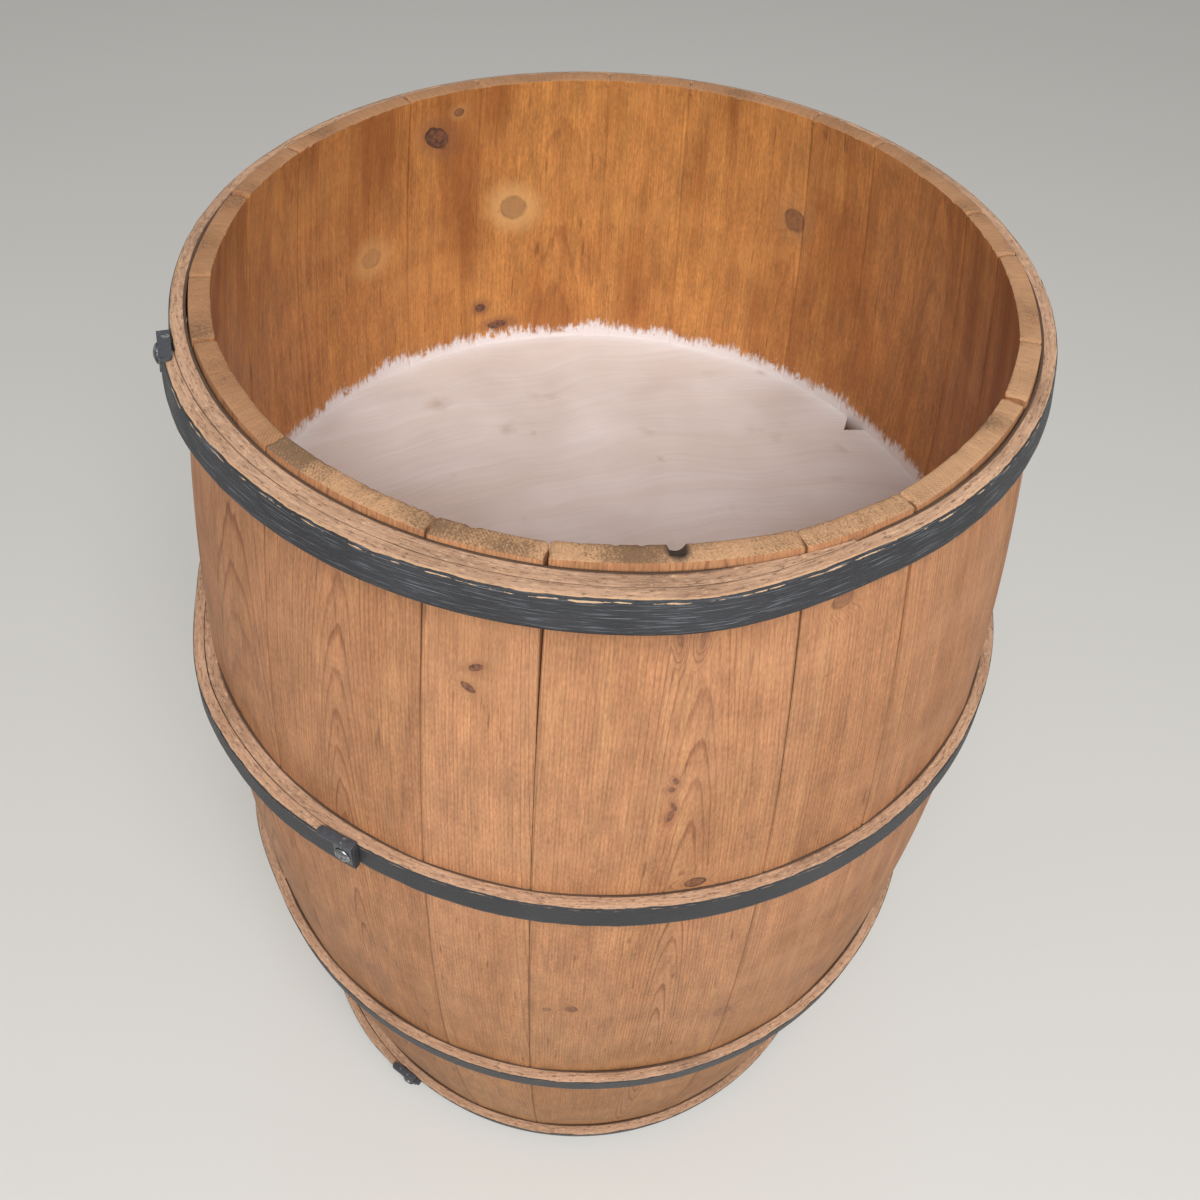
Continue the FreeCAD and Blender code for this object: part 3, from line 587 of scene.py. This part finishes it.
chooser = random.Random(STAVE_SEED)
stave_tree = build_stave_tree()
start = FIRST_SEAM
for number, (name, share) in enumerate(zip(STAVES, STAVE_SHARES), 1):
    sweep = FULL_TURN * share / sum(STAVE_SHARES)
    following = number % len(STAVES) + 1
    notched = start < NOTCH_BEARING < start + sweep
    usual_pith = (chooser.uniform(-60, 60) * MM, chooser.uniform(15, 70) * MM, chooser.uniform(-0.05, 0.06))
    pith_offset, pith_depth, pith_drift = PITHS.get(number, usual_pith)
    stave = grow(name + "_worn", stave_tree, {
        "Start": start, "Sweep": sweep, "Length": stave_length,
        "Bilge Radius": bilge_radius, "Bow Radius": bow_radius, "Thickness": STAVE_THICKNESS,
        "Flatness": 0.008 * sweep * bilge_radius, "Edge Ease": 1.6 * MM,
        "Left Gap": SEAM_GAPS.get(number, USUAL_GAP) / 2, "Right Gap": SEAM_GAPS.get(following, USUAL_GAP) / 2,
        "Top Drop": chooser.uniform(1.4, 2.8) * MM * (BACK_DROP if number in BACK_STAVES else 1.0),
        "Rim Bevel": chooser.uniform(0.3, 1.0) * MM, "Chips": 1.1 * MM, "Rim Inset": chooser.uniform(0.2, 1.4) * MM,
        "Notch Bearing": NOTCH_BEARING, "Notch Half Width": NOTCH_HALF_WIDTH,
        "Notch Depth": NOTCH_DEPTH if notched else 0.0,
        "Points Across": NOTCHED_POINTS if notched else round(sweep * bilge_radius / POINT_SPACING) + 1,
        "Pith Offset": pith_offset, "Pith Depth": pith_depth, "Pith Drift": pith_drift,
        "Tone": TONES.get(number, 0.5), "Seed": float(number), "Material": stave_material,
    })
    fit_piece(stave, "stave_pine", name)
    start += sweep


# Hoops: bent wooden strips, bare on top with long splintered fibres, their outer face brushed with a
# thin black paint that is scratched along the strip and chipped along its upper edge
def painted_hoop_wood():
    material, shader, put = new_material("bent ash strip, worn black paint outside", IOR=1.5)
    strip = put(ATTRIBUTE, attribute_name="strip").outputs["Vector"]
    wear, coats = (put(ATTRIBUTE, attribute_name=name).outputs["Fac"] for name in ("wear", "coats"))
    _, depth, level = put(SPLIT, strip).outputs

    # Bare wood: fibres 1.2 mm across and many times longer, weathered in patches of 55 mm, with grit of 1.5 mm
    long_fibre = put(STRETCH, strip, (0.11, 1, 1))
    fibre = put(NOISE, long_fibre, 850, 5, 0.7)
    band = put(NOISE, long_fibre, 220, 2)
    patch = put(NOISE, strip, 18, 4)
    wood = put(BLEND, put(RANGE, band, 0.35, 0.65), "#A88266", "#BC967A")
    wood = put(BLEND, put(RANGE, patch, 0.5, 0.75, 0, 0.6), wood, "#80614A")
    wood = put(TINT, 1, wood, put(RANGE, fibre, 0.3, 0.7, 0.72, 1.2))
    wood = put(BLEND, put(RANGE, fibre, 0.38, 0.3, 0, 0.75), wood, "#54392A")

    grit = put(NOISE, put(STRETCH, strip, (0.35, 1, 1)), 650, 3, 0.65)
    wood = put(BLEND, put(RANGE, grit, 0.56, 0.66, 0, 0.7), wood, "#5B4130")
    wood = put(BLEND, put(RANGE, grit, 0.42, 0.32, 0, 0.7), wood, "#D2AE8B")

    # Dirt and painted shade: a dark line along the inner edge, in the crevice where the next turn or the staves begin
    dirt_and_shade_reach = put(TIMES_PLUS, patch, -2.2 * MM, HOOP_THICKNESS + 0.6 * MM)
    wood = put(BLEND, put(RANGE, depth, dirt_and_shade_reach, HOOP_THICKNESS, 0, 0.9), wood, "#3B281B")

    # Paint up the outer face, over the corner in places
    chip = put(NOISE, put(STRETCH, strip, (0.45, 1, 1)), 190, 4, 0.6)
    sweep = put(NOISE, put(STRETCH, strip, (1, 0, 0)), 30, 3)
    round_outside = put(PLUS, depth, level)
    limit = put(TIMES_PLUS, sweep, 3.4 * MM, put(TIMES_PLUS, chip, 2.6 * MM, 0.85 * HOOP_WIDTH))
    below = put(MINUS, limit, round_outside)
    painted = put(TIMES, put(RANGE, below, 0, 0.25 * MM), put(RANGE, depth, 5 * MM, 4.5 * MM))
    one_side = put(SMALLER, coats, 1)
    painted = put(TIMES, painted, one_side)

    # Where paint came off, the wood under it is pale and clean
    bare_edge = put(TIMES, put(RANGE, below, -1.1 * MM, -0.3 * MM, 0, 0.75), wear)
    wood = put(BLEND, put(TIMES, bare_edge, one_side), wood, "#C79F78")
    from_scrape = put(MINUS, round_outside, put(TIMES_PLUS, sweep, 5 * MM, HOOP_WIDTH - 4.4 * MM))
    from_scrape = put(ABSOLUTE, from_scrape)
    scrape_width = put(TIMES, put(RANGE, chip, 0.48, 0.62, 0, 0.6 * MM), wear)
    scrape = put(MATH, from_scrape, scrape_width, operation="LESS_THAN")
    painted = put(TIMES, painted, put(MINUS, 1, scrape))
    painted = put(LARGER, painted, put(RANGE, coats, 1.2, 1.4))
    wood = put(BLEND, put(TIMES, scrape, 0.8), wood, "#C4A587")

    # Scratches 0.6 mm wide along the strip
    scratch = put(NOISE, put(STRETCH, strip, (0.025, 1, 1)), 1700, 3, 0.6)
    scratch_level = put(TIMES_PLUS, wear, -0.13, 0.7)
    scratched = put(RANGE, scratch, scratch_level, put(PLUS, scratch_level, 0.05), 0, 0.6)
    paint = put(BLEND, put(RANGE, patch, 0.4, 0.7), "#26272B", "#323337")
    colour = put(BLEND, painted, wood, put(BLEND, scratched, paint, "#767980"))
    rough = put(RANGE, painted, 0, 1, 0.75, 0.5)
    relief = put(TIMES_PLUS, fibre, 0.8, put(TIMES, painted, 0.15))
    dress(shader, put, MM, relief, Base_Color=colour, Roughness=rough)
    return material


# Points along, through and up the strip
HOOP_POINTS = (901, 7, 11)


# One tree winds a strip once round and over its own feathered tip; angles run from that tip
def build_hoop_tree():
    tree, put, given, result = new_group("lapped hoop", "GeometryNodeTree", {
        "Float": ("Tip Bearing", "Winding", "Strip End", "Tip Lead", "Tip Taper", "End Taper", "Seat Top",
                  "Seat Bottom", "Bottom", "Width", "Thickness", "Step", "Tip Thickness", "End Thickness", "Press",
                  "Edge Round", "Raggedness", "Dipped End", "Wear", "Seed"), "Material": ("Material",)}, GEOMETRY)
    bar = put("GeometryNodeMeshCube", (1, 1, 1), *HOOP_POINTS)
    share = put(SHIFT, put(POSITION), (0.5, 0.5, 0.5))
    x, y, z = put(SPLIT, share).outputs
    angle = put(TIMES, x, given["Strip End"])
    level = crowd(put, z)
    # The strip's outer face lies on the same side whichever way it winds
    outward = put(MINUS, 0.5, put(TIMES, put(MINUS, crowd(put, y), 0.5), given["Winding"]))

    # Thickness, feathered at the tip and thinned at the outer end
    rising = put(EASE, angle, put(TIMES, given["Tip Lead"], -1), given["Tip Taper"], 0, given["Thickness"])
    rising = put(LARGER, rising, given["Tip Thickness"])
    thinning = put(MINUS, given["Strip End"], given["End Taper"])
    falling = put(RANGE, angle, thinning, given["Strip End"], given["Thickness"], given["End Thickness"])
    thickness = put(SMALLER, rising, falling)
    climb_start = put(MINUS, FULL_TURN, given["Tip Lead"])
    climb = put(EASE, angle, climb_start, put(PLUS, FULL_TURN, given["Tip Taper"]), 0, given["Step"])
    inner = put(PLUS, put(BETWEEN, level, given["Seat Bottom"], given["Seat Top"]), climb)
    radius = put(TIMES_PLUS, outward, thickness, inner)
    height = put(TIMES_PLUS, level, given["Width"], given["Bottom"])

    # Drawn up tight, the strip's inner face presses into the staves
    from_outside = put(MINUS, 1, outward)
    press = put(RANGE, angle, climb_start, FULL_TURN, given["Press"], 0)
    radius = put(MINUS, radius, put(TIMES, press, from_outside))
    open_air = put(ABOVE, angle, put(MINUS, put(MINUS, given["Strip End"], FULL_TURN), given["Dipped End"]))
    coats = put(PLUS, open_air, put(ABOVE, angle, put(MINUS, given["Strip End"], given["Dipped End"])))

    # Rounded and splintered corners
    along = put(TIMES, angle, given["Seat Top"])
    below_face = put(TIMES, from_outside, put(PLUS, thickness, press))
    strip = put(JOIN, along, below_face, put(TIMES, level, given["Width"]))
    splinter = put(NOISE_4D, put(STRETCH, strip, (0.5, 1, 1)), given["Seed"], 130, 4)
    splintered = put(RANGE, splinter, 0.42, 0.75)
    wave = put(NOISE_4D, put(STRETCH, strip, (1, 1, 0)), given["Seed"], 24, 2)
    side = put(TIMES_PLUS, outward, 2, -1)
    end = put(TIMES_PLUS, level, 2, -1)
    near_side = put(POWER, put(ABSOLUTE, side), 14)
    corner = put(TIMES, near_side, put(POWER, put(ABSOLUTE, end), 20))
    ragged = put(TIMES_PLUS, splintered, given["Raggedness"], given["Edge Round"])
    exposed = put(TIMES, put(ABOVE, outward, 0.5), open_air)
    worn = put(TIMES, corner, put(TIMES_PLUS, ragged, exposed, 0.1 * MM))
    radius = put(MINUS, radius, put(TIMES, put(SIGN, side), worn))
    height = put(MINUS, height, put(TIMES, put(SIGN, end), worn))
    top_wave = put(TIMES, put(TIMES, wave, 0.7 * MM), put(LARGER, end, 0))
    height = put(MINUS, height, top_wave)

    bearing = put(TIMES_PLUS, angle, given["Winding"], given["Tip Bearing"])
    wound = stand_round(put, bearing, radius, height)
    bar = bend(put, bar, wound, {"strip": strip}, {"wear": given["Wear"], "coats": coats})
    end_tree(put, bar, given, result)
    return tree


hoop_material = painted_hoop_wood()
hoop_tree = build_hoop_tree()
clip_nail_seats = []
for number, (name, (winding, lap, end, wear)) in enumerate(HOOPS.items(), 1):
    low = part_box(name)[0].z
    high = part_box(name)[1].z
    seat_low = wall_radius(low) + HOOP_CLEARANCE
    seat_high = wall_radius(high) + HOOP_CLEARANCE
    step = HOOP_THICKNESS + HOOP_CLEARANCE
    turn_per_metre = 1 / (wall_radius((low + high) / 2) + HOOP_THICKNESS)
    strip_end = FULL_TURN + lap * turn_per_metre
    tip_bearing = end - winding * strip_end
    hoop = grow(name + "_strip", hoop_tree, {
        "Tip Bearing": tip_bearing, "Winding": float(winding),
        "Strip End": strip_end - HOOP_TRIM * turn_per_metre, "Dipped End": HOOP_DIP * turn_per_metre,
        "Tip Lead": HOOP_TIP_LEAD * turn_per_metre, "Tip Taper": HOOP_TIP_TAPER * turn_per_metre,
        "End Taper": HOOP_END_TAPER * turn_per_metre,
        "Seat Top": seat_high, "Seat Bottom": seat_low, "Bottom": low, "Width": high - low,
        "Thickness": HOOP_THICKNESS, "Step": step, "Tip Thickness": HOOP_TIP,
        "End Thickness": HOOP_END + CLIP_CLEARANCE, "Press": HOOP_PRESS, "Edge Round": 0.25 * MM,
        "Raggedness": 1.1 * MM, "Wear": wear, "Seed": float(number), "Material": hoop_material,
    })
    fit_piece(hoop, "hoop_wood", name)

    # The clip's nail stands square to the leg, half-way down it
    edge = []
    for inset in (CLIP_INSET, CLIP_INSET + CLIP_LEG / 2, CLIP_INSET + CLIP_LEG):
        share = inset / HOOP_END_TAPER
        outer = seat_high + step + HOOP_END * (1 - share) + HOOP_THICKNESS * share
        bearing = tip_bearing + winding * (strip_end - inset * turn_per_metre)
        edge.append(round_the_barrel(outer, bearing, high))
    along = (edge[0] - edge[2]).normalized() * winding
    outward = along.cross(Vector((0, 0, 1)))
    flare = (seat_low - seat_high) / (high - low)
    leg_face = CLIP_CLEARANCE + CLIP_SHEET + flare * CLIP_DROP / 2 - CLIP_BEND / 2
    seat = edge[1] + outward * leg_face - Vector((0, 0, CLIP_DROP / 2))
    clip_nail_seats.append((seat, outward + Vector((0, 0, flare - CLIP_BEND / CLIP_DROP))))


# Clips and cleat nails: black-painted mild steel, rubbed to bright metal in spots 4 mm across
def worn_black_steel():
    material, shader, put = new_material("mild steel, rubbed black paint", IOR=1.5)
    place = put("ShaderNodeTexCoord").outputs["Object"]
    rub = put(NOISE, place, 260, 4, 0.6)
    mottle = put(NOISE, place, 700, 2)
    bare = put(RANGE, rub, 0.62, 0.68)
    colour = put(BLEND, bare, put(BLEND, mottle, "#2A2C31", "#4E5157"), "#B9BABC")
    rough = put(RANGE, mottle, 0.3, 0.7, 0.32, 0.5)
    dress(shader, put, 0.15 * MM, rub, Base_Color=colour, Metallic=bare, Roughness=rough)
    return material


# Clip nails: steel hammered and rubbed bright, dark in dents 3 mm across
def bright_steel():
    material, shader, put = new_material("steel nail, rubbed bright", Metallic=1.0)
    place = put("ShaderNodeTexCoord").outputs["Object"]
    dent = put(NOISE, place, 330, 3)
    colour = put(BLEND, put(RANGE, dent, 0.4, 0.62), "#4A4C50", "#A9ABAE")
    rough = put(RANGE, dent, 0.35, 0.65, 0.36, 0.2)
    dress(shader, put, 0.2 * MM, dent, Base_Color=colour, Roughness=rough)
    return material


FLAT_ANGLE = math.radians(2)
SHARP_ANGLE = math.radians(35)
DENTS_PER_METRE = 90


def soften(name, node, material, ease, dents):
    """A merged copy of a CAD node with its sharp edges eased and its faces a little uneven."""
    mesh = bpy.data.meshes.new(name)
    shape = bmesh.new()
    shape.from_mesh(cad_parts[node].data)
    bmesh.ops.remove_doubles(shape, verts=shape.verts, dist=0.01 * MM)
    bmesh.ops.dissolve_limit(shape, angle_limit=FLAT_ANGLE, verts=shape.verts, edges=shape.edges)
    sharp = [edge for edge in shape.edges
             if len(edge.link_faces) == 2 and edge.calc_face_angle() > SHARP_ANGLE]
    bmesh.ops.bevel(shape, geom=sharp, offset=ease, segments=2, profile=0.5, affect="EDGES", clamp_overlap=True)
    for vertex in shape.verts:
        inward = noise.noise(vertex.co * DENTS_PER_METRE) * 0.5 + 0.5
        vertex.co -= vertex.normal * inward * dents
    shape.to_mesh(mesh)
    shape.free()
    mesh.materials.clear()
    mesh.materials.append(material)
    mesh.shade_smooth()
    return new_object(name, mesh)


# One tree sets a hammered nail on each seat, along that seat's outward direction
def build_nail_tree():
    tree, put, given, result = new_group("hammered nail", "GeometryNodeTree", {
        **GEOMETRY, "Float": ("Head", "Rise", "Shank", "Length", "Dents"), "Material": ("Material",)}, GEOMETRY)
    ball = put("GeometryNodeMeshUVSphere", {"Segments": 20, "Rings": 14, "Radius": 1})
    position = put(POSITION)
    dent = put(NOISE, position, 1.6, 2)
    half = put(TIMES, given["Head"], 0.5)
    rise = put(MINUS, given["Rise"], put(TIMES, dent, given["Dents"]))
    dome = put(STRETCH, position, put(JOIN, half, half, rise))
    floor_level = put(VECTOR, dome, (-1, -1, 0), operation="MAXIMUM")
    head = put(MOVE, {"Geometry": ball, "Position": floor_level})
    radius = put(TIMES, given["Shank"], 0.5)
    shank = put("GeometryNodeMeshCylinder", {
        "Vertices": 12, "Side Segments": 2, "Radius": radius, "Depth": given["Length"]})
    half_length = put(TIMES, given["Length"], -0.5)
    sunk = put("GeometryNodeTransform", {"Geometry": shank, "Translation": put(JOIN, 0, 0, half_length)})
    nail = put("GeometryNodeJoinGeometry")
    connect(head, nail.inputs[0])
    connect(sunk, nail.inputs[0])
    outward = put(READ, {"Name": "outward"}, data_type="FLOAT_VECTOR")
    square = put("FunctionNodeAlignRotationToVector", {"Vector": outward}, axis="Z")
    placed = put("GeometryNodeInstanceOnPoints", {"Points": given["Geometry"], "Instance": nail, "Rotation": square})
    end_tree(put, put(SMOOTH, placed), given, result)
    return tree


def seat_mesh(name, seats):
    """A mesh of bare points, each with the direction that its nail stands in."""
    mesh = bpy.data.meshes.new(name)
    mesh.from_pydata([seat for seat, outward in seats], [], [])
    directions = mesh.attributes.new("outward", "FLOAT_VECTOR", "POINT")
    for item, (seat, outward) in zip(directions.data, seats):
        item.vector = outward.normalized()
    return mesh


steel_material = worn_black_steel()
for name, (seat, outward) in zip(HOOPS, clip_nail_seats):
    clip = soften(name + "_strap", name + "_clip", steel_material, ease=0.6 * MM, dents=0.25 * MM)
    for vertex in clip.data.vertices:
        drop = max(0.0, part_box(name)[1].z - vertex.co.z)
        vertex.co -= outward.normalized() * CLIP_BEND * drop / CLIP_DROP
    fit_piece(clip, "clip_steel", name + "_clip")

nail_tree = build_nail_tree()
nails = grow("hammered_clip_nails", nail_tree, {
    "Head": NAIL_HEAD, "Rise": NAIL_RISE, "Shank": NAIL_SHANK, "Length": CLIP_NAIL_LENGTH,
    "Dents": 0.7 * MM, "Material": bright_steel(),
}, seat_mesh("clip_nail_seats", clip_nail_seats))
fit_piece(nails, "nail_steel", "clip_nails")


# Stains on the floor: place and reach in mm
FLOOR_STAINS = ((-130, 145, 12), (-75, 120, 8), (-55, 120, 4), (120, 210, 5), (40, 100, 5))
ELBOW = (160 * MM, -380 * MM)
FLOOR_EDGE_TURN = 1.0


# Raised floor: a board brushed with thin off-white paint in arm-long sweeps round the painter's elbow,
# with brush lines 3 mm apart, faint stains, and painted shade darkening its front under the near wall
def brushed_floor_paint():
    material, shader, put = new_material("softwood board, brushed off-white paint", IOR=1.5)
    place = put("ShaderNodeTexCoord").outputs["Object"]
    from_elbow = put(OFFSET, place, (*ELBOW, floor_top))
    x, y, _ = put(SPLIT, from_elbow).outputs
    sweep_angle = put(BEARING, y, x)
    bent_radius = put(TIMES_PLUS, put(NOISE, place, 7, 2), 0.06, put(LENGTH, from_elbow))
    stroke_place = put(JOIN, bent_radius, put(TIMES, sweep_angle, 0.018), 0)
    stroke = put(NOISE, stroke_place, 300, 4, 0.6)
    broad = put(NOISE, stroke_place, 45, 2)
    cloud = put(NOISE, place, 9, 3)
    stain = put(NOISE, place, 26, 3)
    colour = put(BLEND, put(RANGE, cloud, 0.4, 0.68), "#DBD8D8", "#C6BEBB")
    colour = put(BLEND, put(RANGE, broad, 0.4, 0.65, 0, 0.5), colour, "#D0C5BE")
    # Painted shade: the front of the floor is darkened where the near wall shades it
    colour = put(BLEND, put(EASE, put(SPLIT, place).outputs["Y"], 0.18, -0.14, 0, 0.9), colour, "#9E8274")
    colour = put(TINT, 1, colour, put(RANGE, stroke, 0.3, 0.7, 0.94, 1.03))
    stained = put(RANGE, stain, 0.66, 0.8, 0, 0.45)
    blot = put(NOISE, place, 110, 4, 0.6)
    for spot_x, spot_y, reach in FLOOR_STAINS:
        away = put(DISTANCE, place, (spot_x * MM, spot_y * MM, floor_top))
        ragged = put(TIMES_PLUS, blot, 18 * MM, away)
        stained = put(LARGER, stained, put(RANGE, ragged, reach * MM + 9 * MM, 8 * MM, 0, 0.5))
    colour = put(BLEND, stained, colour, "#A08B74")
    rough = put(RANGE, broad, 0.3, 0.7, 0.55, 0.7)
    dress(shader, put, 0.25 * MM, stroke, Base_Color=colour, Roughness=rough)
    return material


def build_floor_tree():
    tree, put, given, result = new_group("painted disc", "GeometryNodeTree", {
        "Float": ("Top", "Thickness", "Radius", "Flare", "Dip", "Gap Bearing", "Gap Depth", "Gap Half Width"),
        "Material": ("Material",)}, GEOMETRY)
    disc = put("GeometryNodeMeshCylinder", {
        "Vertices": 360, "Side Segments": 6, "Fill Segments": 60, "Radius": 1, "Depth": 1}, fill_type="TRIANGLE_FAN")
    x, y, z = put(SPLIT, put(POSITION)).outputs
    flat = put(JOIN, x, y, 0)
    share = put(LENGTH, flat)
    below = put(TIMES, put(MINUS, 0.5, z), given["Thickness"])
    gap_turn = put(MINUS, put(BEARING, x, put(TIMES, y, -1)), given["Gap Bearing"])
    gap_away = put(ABSOLUTE, put(TIMES, gap_turn, given["Radius"]))
    gap = put(RANGE, gap_away, given["Gap Half Width"], 0, 0, given["Gap Depth"])
    outer = put(MINUS, put(TIMES_PLUS, below, given["Flare"], given["Radius"]), gap)
    spread = put(VECTOR, {"Vector": flat, "Scale": outer}, operation="SCALE")
    dip = put(TIMES, put(NOISE, flat, 2.2, 2), given["Dip"])
    dip = put(PLUS, dip, put(RANGE, share, 0.992, 1, 0, 0.2 * MM))
    lowered = put(TIMES, dip, put(PLUS, z, 0.5))
    height = put(MINUS, put(MINUS, given["Top"], below), lowered)
    place = put(SHIFT, spread, put(JOIN, 0, 0, height))
    smooth = put(SMOOTH, put(MOVE, {"Geometry": disc, "Position": place}))
    turn = put("GeometryNodeInputMeshEdgeAngle").outputs["Unsigned Angle"]
    steep = put(ABOVE, turn, FLOOR_EDGE_TURN)
    smooth = put(SMOOTH, {"Geometry": smooth, "Selection": steep, "Shade Smooth": False}, domain="EDGE")
    end_tree(put, smooth, given, result)
    return tree


floor_edge, floor_rim = (wall_radius(height, STAVE_THICKNESS) for height in (floor_under, floor_top))
floor_radius = floor_rim + FLOOR_PRESS
floor_flare = (floor_edge - floor_rim) / (floor_top - floor_under)
floor_disc = grow("painted_floor_disc", build_floor_tree(), {
    "Top": floor_top, "Thickness": floor_top - floor_under, "Radius": floor_radius, "Flare": floor_flare,
    "Dip": 1.6 * MM, "Gap Bearing": math.radians(129), "Gap Depth": 15 * MM, "Gap Half Width": 10 * MM,
    "Material": brushed_floor_paint(),
})
fit_piece(floor_disc, "painted_floor", "raised_floor")


# Bottom head and cleats: sawn pine left bare, with rings along each board and a little grey
def sawn_pine():
    material, shader, put = new_material("sawn pine, bare and a little grey", IOR=1.5)
    place = put("ShaderNodeTexCoord").outputs["Object"]
    x, y, z = put(SPLIT, place).outputs
    grain = put(JOIN, x, put(PLUS, z, 30 * MM), y)
    rings = put(GROUP, {"Grain": grain, "Spacing": 2 * RING_SPACING}, node_tree=growth_rings)
    latewood, fibre = rings.outputs
    grey = put(NOISE, place, 14, 4)
    greyed = put(RANGE, grey, 0.45, 0.7, 0, 0.5)
    wood = put(BLEND, put(TIMES, latewood, 0.5), "#C49A6C", "#94683F")
    wood = put(BLEND, greyed, wood, "#9A8468")
    wood = put(TINT, 1, wood, put(RANGE, fibre, 0.3, 0.7, 0.82, 1.1))
    rough = put(RANGE, grey, 0.3, 0.7, 0.65, 0.8)
    dress(shader, put, 0.3 * MM, fibre, Base_Color=wood, Roughness=rough)
    return material


sawn_material = sawn_pine()
for name in HEAD_BOARDS:
    board = soften(name + "_sawn", name, sawn_material, ease=0.8 * MM, dents=0.3 * MM)
    fit_piece(board, "head_pine", name)
for name in CLEATS:
    cleat = soften(name + "_sawn", name, sawn_material, ease=0.8 * MM, dents=0.2 * MM)
    fit_piece(cleat, "cleat_pine", name)
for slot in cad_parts["cleat_nails"].material_slots:
    slot.material = steel_material


# Camera, floor and light
CAMERA_PLACE = Vector((0.0, -542.3, 1064.3)) * MM
CAMERA_PITCH = math.radians(48.65)
CAMERA_YAW = math.radians(0.29)
CAMERA_ROLL = math.radians(3.92)
PHOTO_WIDTH = 1200
FOCAL_PIXELS = 1152
SENSOR = 36.0
FLOOR_HALF_WIDTH = 6.0
LIGHT_PLACE = Vector((0.25, -1.9, 2.7))
LIGHT_AIM = Vector((0, 0, 0.45))
LIGHT_WIDTH = 2.0
LIGHT_WATTS = 108
SKY_STRENGTH = 0.45


def place_camera():
    camera = bpy.data.cameras.new("camera")
    camera.sensor_width = SENSOR
    camera.lens = SENSOR * FOCAL_PIXELS / PHOTO_WIDTH
    view = Vector((math.sin(CAMERA_YAW) * math.cos(CAMERA_PITCH), math.cos(CAMERA_YAW) * math.cos(CAMERA_PITCH),
                   -math.sin(CAMERA_PITCH)))
    level_right = Vector((math.cos(CAMERA_YAW), -math.sin(CAMERA_YAW), 0))
    level_up = level_right.cross(view)
    right = math.cos(CAMERA_ROLL) * level_right + math.sin(CAMERA_ROLL) * level_up
    up = -math.sin(CAMERA_ROLL) * level_right + math.cos(CAMERA_ROLL) * level_up
    holder = new_object("camera", camera)
    holder.matrix_world = Matrix.Translation(CAMERA_PLACE) @ Matrix((right, up, -view)).transposed().to_4x4()
    bpy.context.scene.camera = holder


def lay_floor():
    mesh = bpy.data.meshes.new("studio_floor")
    shape = bmesh.new()
    bmesh.ops.create_grid(shape, x_segments=1, y_segments=1, size=FLOOR_HALF_WIDTH)
    shape.to_mesh(mesh)
    shape.free()
    mesh.materials.append(new_material("pale studio floor", Roughness=0.8, Base_Color="#CFCDC9")[0])
    floor = new_object("studio_floor", mesh)


def hang_light():
    lamp = bpy.data.lights.new("overhead", "AREA")
    lamp.size = LIGHT_WIDTH
    lamp.energy = LIGHT_WATTS
    holder = new_object("overhead", lamp)
    holder.location = LIGHT_PLACE
    holder.rotation_euler = (LIGHT_AIM - LIGHT_PLACE).to_track_quat("-Z", "Y").to_euler()


place_camera()
lay_floor()
hang_light()
world = bpy.data.worlds.new("studio")
world.use_nodes = True
connect_all(world.node_tree.nodes["Background"].inputs, Color="#F4F4F2", Strength=SKY_STRENGTH)
bpy.context.scene.world = world
bpy.context.scene.view_settings.view_transform = "Standard"
